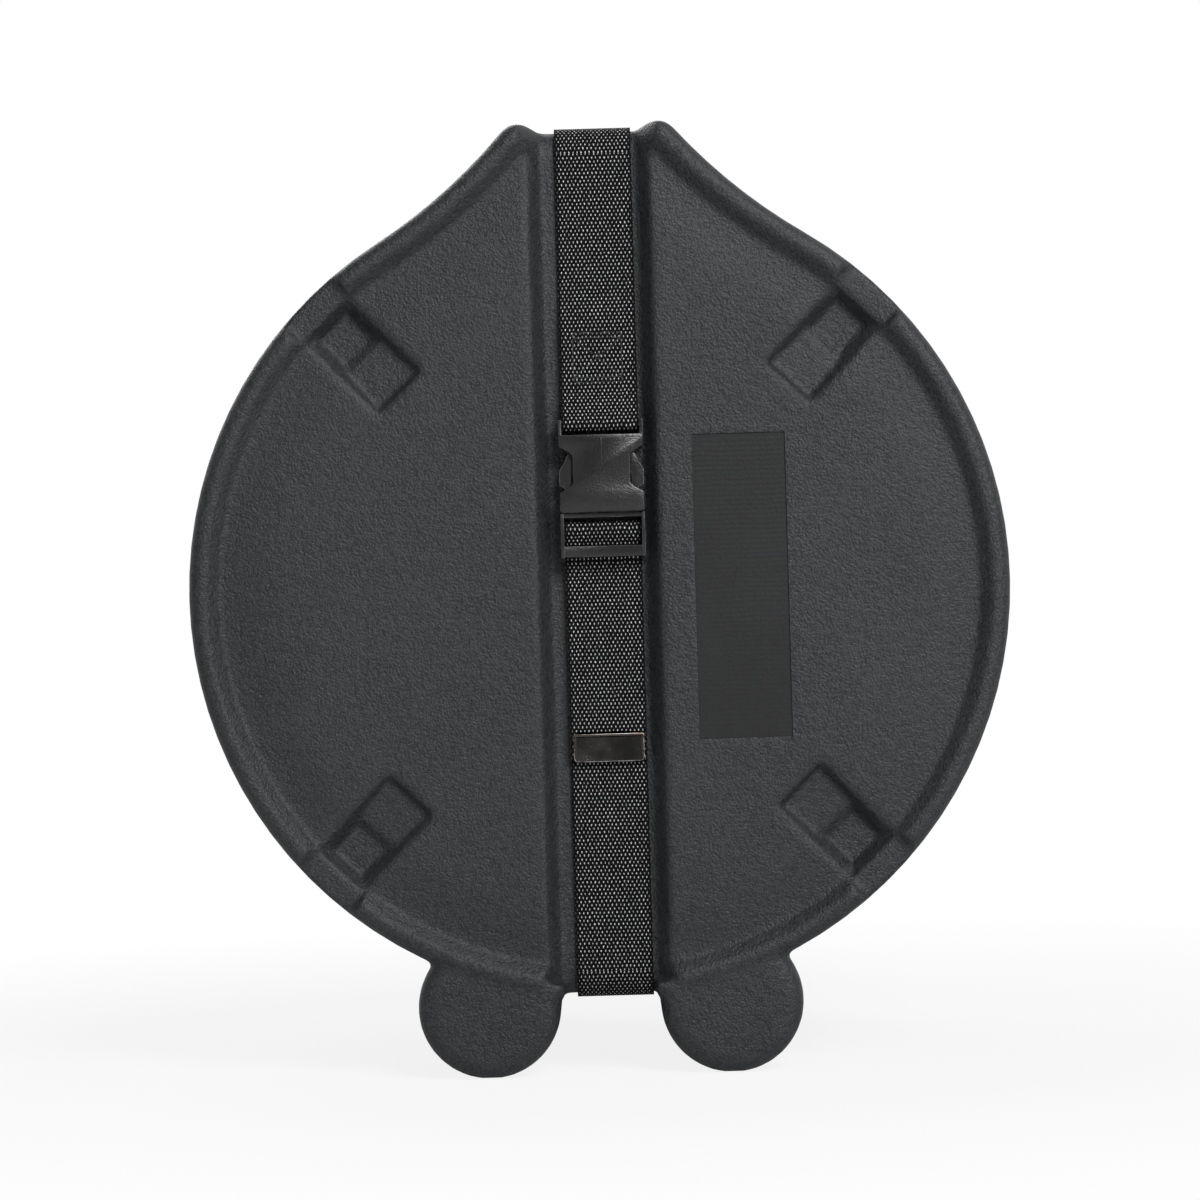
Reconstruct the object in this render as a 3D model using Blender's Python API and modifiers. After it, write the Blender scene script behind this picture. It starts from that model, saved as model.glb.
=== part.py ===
"""Two-part moulded tom case: a lid over a stepped base, held shut by one webbing strap.

The case stands on two foot lobes. The lid faces -Y, the strap runs round the case in the
plane x = STRAP_SHIFT, and the floor is z = 0. All sizes are real ones, in metres.
"""

import math

import bmesh
import bpy
from mathutils import Vector

MM = 0.001

# Body outline, seen from the front
BODY_RADIUS = 203.6 * MM
SHOULDER_RADIUS = 275 * MM
SHOULDER_START = math.radians(58.5)
PEAK_RISE = 27.7 * MM
PEAK_RADIUS = 12 * MM
PEAK_SMALLEST_RADIUS = 1.2 * MM
TOP_BED_DROP = 3.5 * MM
TOP_BED_HALF_WIDTH = 22 * MM
BOTTOM_BED_RISE = 1.8 * MM

# Depths, from the front crest to the back
CREST_SPAN = 330 * MM
LID_DEPTH = 125 * MM
PARTING_GAP = 1 * MM
NECK_LENGTH = 27 * MM
NECK_CLEARANCE = 0.8 * MM
WALL = 4 * MM

# Rim bead and the face panel inside it
RIM_WIDTH = 15.3 * MM
CREST_INSET = 6.5 * MM
PANEL_RECESS = 4.5 * MM
RIM_SIDE_DEPTH = 9 * MM
UNDER_RIM_SHIFT = 0.9 * MM

# Foot lobes
FOOT_RADIUS = 35.5 * MM
FOOT_SPREAD = 60.2 * MM
FOOT_DROP = 37.7 * MM
FOOT_FLAT_DEPTH = 0.5 * MM
FOOT_FRONT_RECESS = 1.5 * MM
FOOT_ROOT_LAP = 1 * MM
FOOT_EDGE_RADIUS = 8 * MM
FOOT_ROOT_INSET = 13.6 * MM
FOOT_CAVITY_SHIFT = 0.5 * MM
FOOT_FILLET = 3 * MM
FOOT_FILLET_START = math.radians(75)

# Strap channel on the front and the back
CHANNEL_DEPTH = 10 * MM
CHANNEL_HALF_WIDTH = 24 * MM
CHANNEL_CORNER = 12 * MM
CHANNEL_CORNER_TURN = math.radians(80)
CHANNEL_CUT_HEIGHT = 20 * MM
CHANNEL_RUN_OUT = 30 * MM
DRAFT = 0.66

# Stacking pockets in the lid and stacking feet on the back
POCKET_ANGLES = [math.radians(a) for a in (46, 134, 226, 314)]
POCKET_HALF_WIDTH = 16 * MM
POCKET_START_INSET = 66.1 * MM
POCKET_INNER = 5 * MM
POCKET_SHALLOW = 6.5 * MM
POCKET_STEP_INSET = 38.2 * MM
POCKET_STEP_SLOPE = 1.5
POCKET_DEEP = 10 * MM
POCKET_END_INSET = 13.6 * MM
POCKET_SILL = 0.8 * MM
POCKET_OVERRUN = 26 * MM
STACK_FOOT_RISE = 6 * MM
STACK_FOOT_CLEARANCE = 4 * MM

# Bare recessed panel on the lid
PLATE_X = 70.5 * MM
PLATE_DROP = 0.5 * MM
PLATE_WIDTH = 45 * MM
PLATE_HEIGHT = 150 * MM
PLATE_RECESS = 0.8 * MM

# Foam lining
FOAM_THICKNESS = 10 * MM
FOAM_GAP = 0.3 * MM

# Webbing strap
SEAT_GAP = 0.3 * MM
STRAP_WIDTH = 38 * MM
STRAP_THICKNESS = 1.7 * MM
STRAP_SHIFT = 2.5 * MM
STRAP_FOLD_TOP = 372 * MM
STRAP_TAIL_END = 156 * MM
TAIL_DROP = 1.4 * MM
TAIL_HINGE_LIFT = 5 * MM
TAIL_HINGE_DROP = 1 * MM
STRAP_STEP = 15 * MM
SOCKET_BAR_RUN_IN = 15 * MM

# Side-release buckle. Lifts are measured off the channel's floor
BUCKLE_MOUTH_HEIGHT = 278.8 * MM
BUCKLE_WIDTH = 42 * MM
BUCKLE_THICKNESS = 13.5 * MM
BUCKLE_LIFT = 0.4 * MM
BUCKLE_WALL = 2.3 * MM
BUCKLE_EDGE_RADIUS = 1.1 * MM
LATCH_GAP = 0.3 * MM
SOCKET_LENGTH = 38.5 * MM
SOCKET_BAR_RISE = 43.8 * MM
SOCKET_BAR_SIZE = 4.2 * MM
SOCKET_BAR_LIFT = 6.8 * MM
SOCKET_RAIL_INSET = 2 * MM
NOTCH_START = 9.9 * MM
NOTCH_END = 32.6 * MM
NOTCH_DEPTH = 6.7 * MM
NOTCH_SLOPE = 4.5 * MM
PLUG_LENGTH = 22.3 * MM
PLUG_BAR_DROP = 8.6 * MM
PLUG_BAR_SIZE = 4.4 * MM
PLUG_BAR_LIFT = 6.3 * MM
PLUG_INSET = 0.8 * MM
PLUG_BRIDGE = 2.2 * MM
PLUG_NECK = 2.7 * MM
LIP_WIDTH = 5.6 * MM
LIP_GAP = 1.2 * MM
TONGUE_WIDTH = 5.2 * MM
TONGUE_THICKNESS = 3.5 * MM
PRONG_WIDTH = 3.6 * MM
PRONG_LENGTH = 26.3 * MM
PRONG_CATCH = 3.4 * MM

# Metal strap tip
TIP_WIDTH = 35 * MM
TIP_LENGTH = 13.9 * MM
TIP_SHEET = 0.5 * MM
TIP_LIFT = 4 * MM

# Hand hollow in the base and the grip on the strap above it
HOLLOW_LENGTH = 130 * MM
HOLLOW_DEPTH = 22 * MM
HOLLOW_CENTRE_Y = 55 * MM
GRIP_LENGTH = 104 * MM
GRIP_WIDTH = 50 * MM
GRIP_RISE = 7 * MM
GRIP_DROP = 8.5 * MM
GRIP_EDGE = 1.5 * MM

# Rivets that hold the strap to the back
RIVET_SPACING = 130 * MM
RIVET_SHANK = 4.8 * MM
RIVET_HEAD = 10 * MM
RIVET_HEAD_THICKNESS = 1.4 * MM
RIVET_TAIL = 8 * MM
WASHER_DIAMETER = 16 * MM
WASHER_THICKNESS = 1 * MM
RIVET_CLEARANCE = 0.3 * MM

# Places that follow from the sizes above
BUCKLE_TOP_LIFT = BUCKLE_LIFT + BUCKLE_THICKNESS
SOCKET_TOP = BUCKLE_MOUTH_HEIGHT + SOCKET_LENGTH
SOCKET_BAR_HEIGHT = BUCKLE_MOUTH_HEIGHT + SOCKET_BAR_RISE
PLUG_BOTTOM = BUCKLE_MOUTH_HEIGHT - PLUG_LENGTH
PLUG_BAR_HEIGHT = BUCKLE_MOUTH_HEIGHT - PLUG_BAR_DROP
PLUG_TOP = BUCKLE_MOUTH_HEIGHT + PLUG_NECK
PRONG_TIP = PLUG_TOP + PRONG_LENGTH
ROOM_HALF_WIDTH = BUCKLE_WIDTH / 2 - BUCKLE_WALL
ROOM_LIFTS = (BUCKLE_LIFT + BUCKLE_WALL, BUCKLE_TOP_LIFT - BUCKLE_WALL)
PLUG_LIFTS = (ROOM_LIFTS[0] + LATCH_GAP, ROOM_LIFTS[1] - LATCH_GAP)
BODY_CENTRE_HEIGHT = BODY_RADIUS + FOOT_DROP
PEAK_HEIGHT = BODY_RADIUS + PEAK_RISE
TOP_BED_HEIGHT = PEAK_HEIGHT - TOP_BED_DROP
BOTTOM_BED_DEPTH = BODY_RADIUS - BOTTOM_BED_RISE
FOOT_HEIGHT = FOOT_RADIUS - FOOT_FLAT_DEPTH
FOOT_ROOT_RADIUS = BODY_RADIUS - FOOT_ROOT_INSET
FOOT_FRONT_ROOT_RADIUS = BODY_RADIUS - CREST_INSET
POCKET_START = BODY_RADIUS - POCKET_START_INSET
POCKET_STEP = BODY_RADIUS - POCKET_STEP_INSET
POCKET_END = BODY_RADIUS - POCKET_END_INSET
FRONT_CREST_Y = -(CREST_SPAN + STACK_FOOT_RISE) / 2
BACK_CREST_Y = FRONT_CREST_Y + CREST_SPAN
PARTING_Y = FRONT_CREST_Y + LID_DEPTH
BASE_DEPTH = CREST_SPAN - LID_DEPTH - PARTING_GAP
NECK_INSET = WALL + NECK_CLEARANCE
FLOOR_DEPTH = PANEL_RECESS + CHANNEL_DEPTH
FRONT_FLOOR_Y = FRONT_CREST_Y + FLOOR_DEPTH
BACK_FLOOR_Y = BACK_CREST_Y - FLOOR_DEPTH
TOP_BED_Z = BODY_CENTRE_HEIGHT + TOP_BED_HEIGHT
BOTTOM_BED_Z = BODY_CENTRE_HEIGHT - BOTTOM_BED_DEPTH
STRAP_LIFT = SEAT_GAP + STRAP_THICKNESS / 2
LINER_RADIUS = BOTTOM_BED_DEPTH - WALL - FOAM_GAP
PAD_RADIUS = LINER_RADIUS - FOAM_THICKNESS - FOAM_GAP
NECK_FRONT_Y = PARTING_Y + PARTING_GAP - NECK_LENGTH

FRONT = -1
BACK = 1

PARTS = "tom_case"
CUTTERS = "tom_case_cutters"


def clear_scene():
    """Remove what the file opens with."""
    for obj in list(bpy.data.objects):
        bpy.data.objects.remove(obj, do_unlink=True)


def collection(name):
    """The collection of this name, made on first use."""
    found = bpy.data.collections.get(name)
    if found is None:
        found = bpy.data.collections.new(name)
        bpy.context.scene.collection.children.link(found)
    return found


def material(name, colour, roughness, metallic=0.0):
    """A Principled material, made on first use."""
    found = bpy.data.materials.get(name)
    if found is None:
        found = bpy.data.materials.new(name)
        found.use_nodes = True
        shader = found.node_tree.nodes["Principled BSDF"]
        shader.inputs["Base Color"].default_value = (*colour, 1.0)
        shader.inputs["Roughness"].default_value = roughness
        shader.inputs["Metallic"].default_value = metallic
    return found


def moulded_plastic():
    return material("moulded_plastic", (0.032, 0.036, 0.039), 0.5)


def grey_foam():
    return material("grey_foam", (0.06, 0.06, 0.065), 0.95)


def black_webbing():
    return material("black_webbing", (0.02, 0.02, 0.021), 0.85)


def buckle_plastic():
    return material("buckle_plastic", (0.012, 0.012, 0.013), 0.3)


def dark_nickel():
    return material("dark_nickel", (0.2, 0.19, 0.18), 0.25, 1.0)


def steel():
    return material("steel", (0.45, 0.45, 0.46), 0.35, 1.0)


def grip_rubber():
    return material("grip_rubber", (0.018, 0.018, 0.019), 0.7)


def add_object(name, bm, finish=None):
    """A named object from a bmesh: a part when it has a finish, a cutter when it has none."""
    bmesh.ops.recalc_face_normals(bm, faces=bm.faces)
    mesh = bpy.data.meshes.new(name)
    bm.to_mesh(mesh)
    bm.free()
    obj = bpy.data.objects.new(name, mesh)
    if finish is None:
        collection(CUTTERS).objects.link(obj)
        obj.hide_render = True
        obj.display_type = "WIRE"
    else:
        collection(PARTS).objects.link(obj)
        mesh.materials.append(finish)
    return obj


def boolean(obj, operation, other):
    """Cut or join by a Boolean modifier that stays on the object."""
    modifier = obj.modifiers.new(f"{operation.lower()}_{other.name}", "BOOLEAN")
    modifier.operation = operation
    modifier.object = other
    modifier.solver = "EXACT"


def bevel(obj, width, segments=2, angle=40):
    """Round the edges sharper than an angle in degrees."""
    modifier = obj.modifiers.new("rounded_edges", "BEVEL")
    modifier.width = width
    modifier.segments = segments
    modifier.limit_method = "ANGLE"
    modifier.angle_limit = math.radians(angle)


def loft(name, rings, finish=None, caps=True):
    """A solid through rings of equally many points, capped at both ends or closed on itself."""
    bm = bmesh.new()
    rows = [[bm.verts.new(point) for point in ring] for ring in rings]
    pairs = list(zip(rows, rows[1:]))
    if caps:
        bm.faces.new(rows[0])
        bm.faces.new(rows[-1])
    else:
        pairs.append((rows[-1], rows[0]))
    for low, high in pairs:
        for i in range(len(low)):
            j = (i + 1) % len(low)
            bm.faces.new((low[i], low[j], high[j], high[i]))
    return add_object(name, bm, finish)


def extrusion(name, outline, place, low, high, finish=None):
    """An outline of (a, b) points pushed from low to high, with place(a, b, push) giving x, y, z."""
    rings = [[place(a, b, push) for a, b in outline] for push in (low, high)]
    return loft(name, rings, finish)


def arc(centre, radius, start, end, steps):
    """Points on an arc from start to end, in radians, both ends included."""
    turns = [start + (end - start) * i / steps for i in range(steps + 1)]
    return [
        (centre[0] + radius * math.cos(t), centre[1] + radius * math.sin(t)) for t in turns
    ]


def mirrored(points):
    """A closed ring from its right half, which starts on the centre line and ends off it."""
    return points + [(-x, z) for x, z in reversed(points[1:])]


def body_outline(inset):
    """The body's outline drawn in by a distance: x, and z from the body's centre."""
    reach = BODY_RADIUS + SHOULDER_RADIUS
    shoulder = (reach * math.cos(SHOULDER_START), reach * math.sin(SHOULDER_START))
    shoulder_radius = SHOULDER_RADIUS + inset
    peak_radius = max(PEAK_RADIUS - inset, PEAK_SMALLEST_RADIUS)
    peak_z = PEAK_HEIGHT - inset - peak_radius
    reach = shoulder_radius + peak_radius
    peak_x = shoulder[0] - math.sqrt(reach**2 - (shoulder[1] - peak_z) ** 2)
    lean = math.atan2(shoulder[1] - peak_z, shoulder[0] - peak_x)
    bed = TOP_BED_HEIGHT - inset
    rise = PEAK_HEIGHT - TOP_BED_HEIGHT
    right = [(0.0, bed), (TOP_BED_HALF_WIDTH, bed)]
    for step in range(1, 4):
        share = step / 4
        x = TOP_BED_HALF_WIDTH + (peak_x - TOP_BED_HALF_WIDTH) * share
        right.append((x, bed + rise * (1 - math.cos(math.pi * share)) / 2))
    right += arc((peak_x, peak_z), peak_radius, math.pi / 2, lean, 4)
    ends = lean + math.pi, SHOULDER_START + math.pi
    right += arc(shoulder, shoulder_radius, *ends, 7)[1:]
    radius = BODY_RADIUS - inset
    bottom = -math.asin((BOTTOM_BED_DEPTH - inset) / radius)
    right += arc((0, 0), radius, SHOULDER_START, bottom, 36)[1:]
    return mirrored(right)


def crossing(centre, radius, reach):
    """The angle on a circle where it comes up to a reach from the body's centre."""
    distance = math.hypot(*centre)
    cosine = (reach**2 - distance**2 - radius**2) / (2 * distance * radius)
    return math.atan2(centre[1], centre[0]) + math.acos(min(max(cosine, -1), 1))


def foot_outline(side, inset, root):
    """One foot lobe's outline drawn in by a distance: x, and z from the body's centre.

    root is the radius about the body's centre where the lobe ends inside the body.
    """
    centre = (FOOT_SPREAD, FOOT_HEIGHT - BODY_CENTRE_HEIGHT)
    radius = FOOT_RADIUS - inset
    flat = math.acos(FOOT_HEIGHT / FOOT_RADIUS)
    down = -math.pi / 2
    fillet = (
        FOOT_SPREAD - FOOT_RADIUS - FOOT_FILLET,
        -BOTTOM_BED_DEPTH - FOOT_FILLET,
    )
    fillet_radius = FOOT_FILLET + inset
    start = min(FOOT_FILLET_START, crossing(fillet, fillet_radius, root + FOOT_ROOT_LAP))
    points = arc(fillet, fillet_radius, start, 0, 3)
    points += arc(centre, radius, -math.pi, down - flat, 9)
    points += arc(centre, radius, down + flat, crossing(centre, radius, root), 12)
    first, last = points[0][0], points[-1][0]
    for step in range(4):
        x = last + (first - last) * (step + 0.5) / 3.5
        points.append((x, -math.sqrt(root**2 - x**2)))
    return [(side * x, z) for x, z in points]


def depth_y(face, depth):
    """The y that lies a depth behind the front or the back crest."""
    if face == FRONT:
        return FRONT_CREST_Y + depth
    return BACK_CREST_Y - depth


def tray(name, outline, face, rows, finish=None):
    """A solid through outlines. Each row holds a depth and what the outline takes."""
    rings = []
    for depth, *drawn in rows:
        y = depth_y(face, depth)
        rings.append([(x, y, z + BODY_CENTRE_HEIGHT) for x, z in outline(*drawn)])
    return loft(name, rings, finish)


def rim_rows(side, crest, foot, crest_depth, foot_depth, side_depth, steps):
    """Depths and insets from the panel over the rim bead's crest to the side wall."""
    rows = []
    for step in range(steps):
        turn = math.pi * step / steps
        inset = foot + (crest - foot) * step / steps
        rows.append((crest_depth + (foot_depth - crest_depth) * (1 + math.cos(turn)) / 2, inset))
    for step in range(steps + 1):
        turn = math.pi / 2 * step / steps
        inset = side + (crest - side) * (1 - math.sin(turn))
        rows.append((crest_depth + (side_depth - crest_depth) * (1 - math.cos(turn)), inset))
    return rows


def outer_rim():
    return rim_rows(0, CREST_INSET, RIM_WIDTH, 0, PANEL_RECESS, RIM_SIDE_DEPTH, 4)


def inner_rim():
    crest = CREST_INSET + UNDER_RIM_SHIFT
    foot_depth = PANEL_RECESS + WALL
    side_depth = RIM_SIDE_DEPTH + UNDER_RIM_SHIFT
    return rim_rows(WALL, crest, RIM_WIDTH, WALL + SEAT_GAP, foot_depth, side_depth, 3)


def foot_rows(side_rows, inset):
    """A foot lobe's rows: its rounded front edge, then those of the body's side.

    Inside, they lie a little deeper than the body's, so that no two cutters share a plane.
    """
    edge = FOOT_EDGE_RADIUS - inset
    recess = FOOT_FRONT_RECESS + inset
    root = FOOT_FRONT_ROOT_RADIUS - inset / 3
    rows = []
    for step in range(4):
        turn = math.pi / 2 * step / 3
        drawn = inset + edge * (1 - math.sin(turn))
        rows.append((recess + edge * (1 - math.cos(turn)), drawn, root))
    shift = FOOT_CAVITY_SHIFT if inset else 0
    return rows + [(depth + shift, drawn, FOOT_ROOT_RADIUS) for depth, drawn in side_rows]


def channel_cut(name, face, grow):
    """The strap channel's cutter, swept up one face and over both corners."""
    floor = FLOOR_DEPTH + grow
    radius = CHANNEL_CORNER - grow
    low, high = BOTTOM_BED_Z + grow, TOP_BED_Z - grow
    path = arc((floor + radius, low + radius), radius, -CHANNEL_CORNER_TURN, 0, 3)
    path += arc((floor + radius, high - radius), radius, 0, CHANNEL_CORNER_TURN, 3)
    path = [(2 * (floor + radius) - depth, z) for depth, z in path]
    ends = []
    for tip, before in ((path[0], path[1]), (path[-1], path[-2])):
        way = (Vector(tip) - Vector(before)).normalized()
        ends.append(tuple(Vector(tip) + way * CHANNEL_RUN_OUT))
    path = [ends[0], *path, ends[1]]
    half = CHANNEL_HALF_WIDTH + grow * math.hypot(1, DRAFT)
    rings = []
    for i, point in enumerate(path):
        before, after = path[max(i - 1, 0)], path[min(i + 1, len(path) - 1)]
        way = (Vector(after) - Vector(before)).normalized()
        out = Vector((-way.y, way.x))
        ring = []
        for rise, side in ((0, -1), (0, 1), (CHANNEL_CUT_HEIGHT, 1), (CHANNEL_CUT_HEIGHT, -1)):
            depth, z = Vector(point) + out * rise
            ring.append((side * (half + DRAFT * rise), depth_y(face, depth), z))
        rings.append(ring)
    return loft(name, rings)


def radial_block(name, angle, profile, half_width, face):
    """A block that points out from the body's centre, from a (radius, depth) profile.

    half_width gives half its width at a depth behind the crest.
    """
    out = Vector((math.cos(angle), 0, math.sin(angle)))
    across = Vector((-math.sin(angle), 0, math.cos(angle)))
    rings = []
    for side in (-1, 1):
        ring = []
        for radius, depth in profile:
            point = out * radius + across * (side * half_width(depth))
            ring.append((point.x, depth_y(face, depth), point.z + BODY_CENTRE_HEIGHT))
        rings.append(ring)
    return loft(name, rings)


def pocket_cut(name, angle, grow):
    """A stacking pocket's cutter: sloping floor, deep floor, then a sill through the bead."""
    slant = grow * math.hypot(1, DRAFT)
    top = -POCKET_SHALLOW
    end_draft = DRAFT * 0.8
    inner, shallow, deep = POCKET_INNER + grow, POCKET_SHALLOW + grow, POCKET_DEEP + grow
    sill = POCKET_SILL + grow
    step = (deep - shallow) * POCKET_STEP_SLOPE / 2
    start = POCKET_START - slant
    end = POCKET_END + slant
    profile = [
        (start + top * end_draft, top),
        (start + inner * end_draft, inner),
        (POCKET_STEP - step - slant / 2, shallow),
        (POCKET_STEP + step - slant / 2, deep),
        (end - (deep - sill) * end_draft, deep),
        (end, sill),
        (end + POCKET_OVERRUN, sill),
        (end + POCKET_OVERRUN, top),
    ]
    profile = [(radius, depth + PANEL_RECESS) for radius, depth in profile]

    def half_width(depth):
        return POCKET_HALF_WIDTH + slant - DRAFT * (depth - PANEL_RECESS)

    return radial_block(name, angle, profile, half_width, FRONT)


def stacking_foot(name, angle):
    """A foot on the back that drops into another lid's pocket."""
    embed = PANEL_RECESS + WALL / 2
    low = POCKET_START + POCKET_SHALLOW + STACK_FOOT_CLEARANCE
    high = POCKET_END - POCKET_SHALLOW - STACK_FOOT_CLEARANCE
    rise = embed + STACK_FOOT_RISE
    profile = [
        (low, embed),
        (low + rise * DRAFT / 2, -STACK_FOOT_RISE),
        (high - rise * DRAFT / 2, -STACK_FOOT_RISE),
        (high, embed),
    ]

    def half_width(depth):
        base = POCKET_HALF_WIDTH - STACK_FOOT_CLEARANCE
        return base - DRAFT / 2 * (embed - depth)

    return radial_block(name, angle, profile, half_width, BACK)


def add_feet(body, face, side_rows, inset):
    """Join the two foot lobes to a body or a cavity."""
    rows = foot_rows(side_rows, inset)
    for side, label in ((-1, "left"), (1, "right")):

        def outline(drawn, root, side=side):
            return foot_outline(side, drawn, root)

        boolean(body, "UNION", tray(f"{body.name}_foot_{label}", outline, face, rows))


def cavity(name, face, side_rows, pockets):
    """The space inside a shell, one wall behind every outer face."""
    space = tray(name, body_outline, face, inner_rim() + side_rows)
    add_feet(space, face, side_rows, WALL)
    boolean(space, "DIFFERENCE", channel_cut(f"{name}_channel", face, WALL))
    for i, angle in enumerate(pockets):
        boolean(space, "DIFFERENCE", pocket_cut(f"{name}_pocket_{i + 1}", angle, WALL))
    return space


def lid_shell():
    """The lid: bead, panel, channel, four pockets, bare plate recess and foot lobes."""
    side_rows = [(LID_DEPTH, 0)]
    shell = tray("lid_shell", body_outline, FRONT, outer_rim() + side_rows, moulded_plastic())
    boolean(shell, "DIFFERENCE", channel_cut("lid_channel", FRONT, 0))
    for i, angle in enumerate(POCKET_ANGLES):
        boolean(shell, "DIFFERENCE", pocket_cut(f"lid_pocket_{i + 1}", angle, 0))
    boolean(shell, "DIFFERENCE", plate_cut())
    add_feet(shell, FRONT, side_rows, 0)
    inside = [(LID_DEPTH + WALL, WALL)]
    boolean(shell, "DIFFERENCE", cavity("lid_cavity", FRONT, inside, POCKET_ANGLES))
    return shell


def plate_cut():
    """The shallow rectangle on the lid that stays bare."""
    x, z = PLATE_WIDTH / 2, PLATE_HEIGHT / 2
    outline = [(-x, -z), (x, -z), (x, z), (-x, z)]
    middle = BODY_CENTRE_HEIGHT - PLATE_DROP
    face = FRONT_CREST_Y + PANEL_RECESS
    return extrusion(
        "lid_plate_cut",
        outline,
        lambda a, b, push: (PLATE_X + a, push, middle + b),
        face - PANEL_RECESS,
        face + PLATE_RECESS,
    )


def hollow_cut(name, grow):
    """The hand hollow's cutter: a trough with round ends across the top of the base."""
    radius = HOLLOW_DEPTH + grow
    reach = HOLLOW_LENGTH / 2 - HOLLOW_DEPTH
    outline = arc((-reach, 0), radius, math.pi, 1.5 * math.pi, 5)
    outline += arc((reach, 0), radius, 1.5 * math.pi, 2 * math.pi, 5)
    outline += [(reach + radius, HOLLOW_DEPTH), (-reach - radius, HOLLOW_DEPTH)]
    return extrusion(
        name,
        outline,
        lambda a, b, push: (push, HOLLOW_CENTRE_Y + a, TOP_BED_Z + b),
        -BODY_RADIUS / 2,
        BODY_RADIUS / 2,
    )


def rivet_heights():
    half = RIVET_SPACING / 2
    return (BODY_CENTRE_HEIGHT + half, BODY_CENTRE_HEIGHT - half)


def rivet_bore(name, height, diameter, low_y, high_y):
    """A round cutter along Y at a rivet."""
    bm = bmesh.new()
    bmesh.ops.create_cone(
        bm,
        cap_ends=True,
        segments=16,
        radius1=diameter / 2,
        radius2=diameter / 2,
        depth=high_y - low_y,
    )
    bore = add_object(name, bm)
    bore.rotation_euler = (math.pi / 2, 0, 0)
    bore.location = (STRAP_SHIFT, (low_y + high_y) / 2, height)
    return bore


def base_shell():
    """The base: back bead, stacking feet, channel, hand hollow, lobes and the stepped neck."""
    neck_end = BASE_DEPTH + NECK_LENGTH
    side_rows = [(BASE_DEPTH, 0), (BASE_DEPTH, NECK_INSET), (neck_end, NECK_INSET)]
    shell = tray("base_shell", body_outline, BACK, outer_rim() + side_rows, moulded_plastic())
    boolean(shell, "DIFFERENCE", channel_cut("base_channel", BACK, 0))
    boolean(shell, "DIFFERENCE", hollow_cut("base_hollow", 0))
    for i, angle in enumerate(POCKET_ANGLES):
        boolean(shell, "UNION", stacking_foot(f"stacking_foot_{i + 1}", angle))
    add_feet(shell, BACK, side_rows, 0)
    neck_in = NECK_INSET + WALL
    root = BASE_DEPTH - WALL
    inside = [(root, WALL), (root, neck_in), (neck_end + WALL, neck_in)]
    space = cavity("base_cavity", BACK, inside, [])
    boolean(space, "DIFFERENCE", hollow_cut("base_cavity_hollow", WALL))
    boolean(shell, "DIFFERENCE", space)
    for i, height in enumerate(rivet_heights()):
        bore = rivet_bore(
            f"base_rivet_bore_{i + 1}",
            height,
            RIVET_SHANK + 2 * RIVET_CLEARANCE,
            BACK_FLOOR_Y - 2 * WALL,
            BACK_CREST_Y,
        )
        boolean(shell, "DIFFERENCE", bore)
    return shell


def turned(name, profile, finish, place, steps=16):
    """A turned piece on an axis along Y. profile holds (radius, height) down its outer side."""
    bm = bmesh.new()
    verts = [bm.verts.new((radius, 0, height)) for radius, height in profile]
    for low, high in zip(verts, verts[1:] + verts[:1]):
        if low.co.x > 0 or high.co.x > 0:
            bm.edges.new((low, high))
    mesh = bpy.data.meshes.new(name)
    bm.to_mesh(mesh)
    bm.free()
    mesh.materials.append(finish)
    obj = bpy.data.objects.new(name, mesh)
    collection(PARTS).objects.link(obj)
    screw = obj.modifiers.new("turned", "SCREW")
    screw.steps = steps
    screw.render_steps = steps
    screw.use_merge_vertices = True
    screw.merge_threshold = 0.00001
    obj.rotation_euler = (-math.pi / 2, 0, 0)
    obj.location = place
    return obj


def ring_wall(name, outer, inner, low_y, high_y, finish):
    """A round liner about the body's centre."""
    rings = []
    for radius, y in ((outer, low_y), (outer, high_y), (inner, high_y), (inner, low_y)):
        points = arc((0, BODY_CENTRE_HEIGHT), radius, 0, 2 * math.pi, 64)[:-1]
        rings.append([(x, y, z) for x, z in points])
    return loft(name, rings, finish, caps=False)


def foam_pad(name, low_y, high_y):
    outline = arc((0, BODY_CENTRE_HEIGHT), PAD_RADIUS, 0, 2 * math.pi, 64)[:-1]
    return extrusion(
        name, outline, lambda a, b, push: (a, push, b), low_y, high_y, grey_foam()
    )


def foam():
    """The glued-in lining: a ring and a round pad in each half."""
    ring_edge = FLOOR_DEPTH + CHANNEL_CORNER + FOAM_GAP
    inner = LINER_RADIUS - FOAM_THICKNESS
    lid_end = NECK_FRONT_Y - 2 * FOAM_GAP
    ring_wall(
        "lid_foam_ring",
        LINER_RADIUS,
        inner,
        depth_y(FRONT, ring_edge),
        lid_end,
        grey_foam(),
    )
    base_start = PARTING_Y + PARTING_GAP + WALL + FOAM_GAP
    ring_wall(
        "base_foam_ring",
        LINER_RADIUS,
        inner,
        base_start,
        depth_y(BACK, ring_edge),
        grey_foam(),
    )
    behind = FLOOR_DEPTH + WALL + FOAM_GAP
    front = depth_y(FRONT, behind)
    foam_pad("lid_foam_pad", front, front + FOAM_THICKNESS)
    back = depth_y(BACK, behind)
    pad = foam_pad("base_foam_pad", back - FOAM_THICKNESS, back)
    for i, height in enumerate(rivet_heights()):
        relief = WASHER_DIAMETER + 4 * RIVET_CLEARANCE
        bore = rivet_bore(f"pad_relief_{i + 1}", height, relief, back - 2 * FOAM_THICKNESS, back + WALL)
        boolean(pad, "DIFFERENCE", bore)


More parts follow.
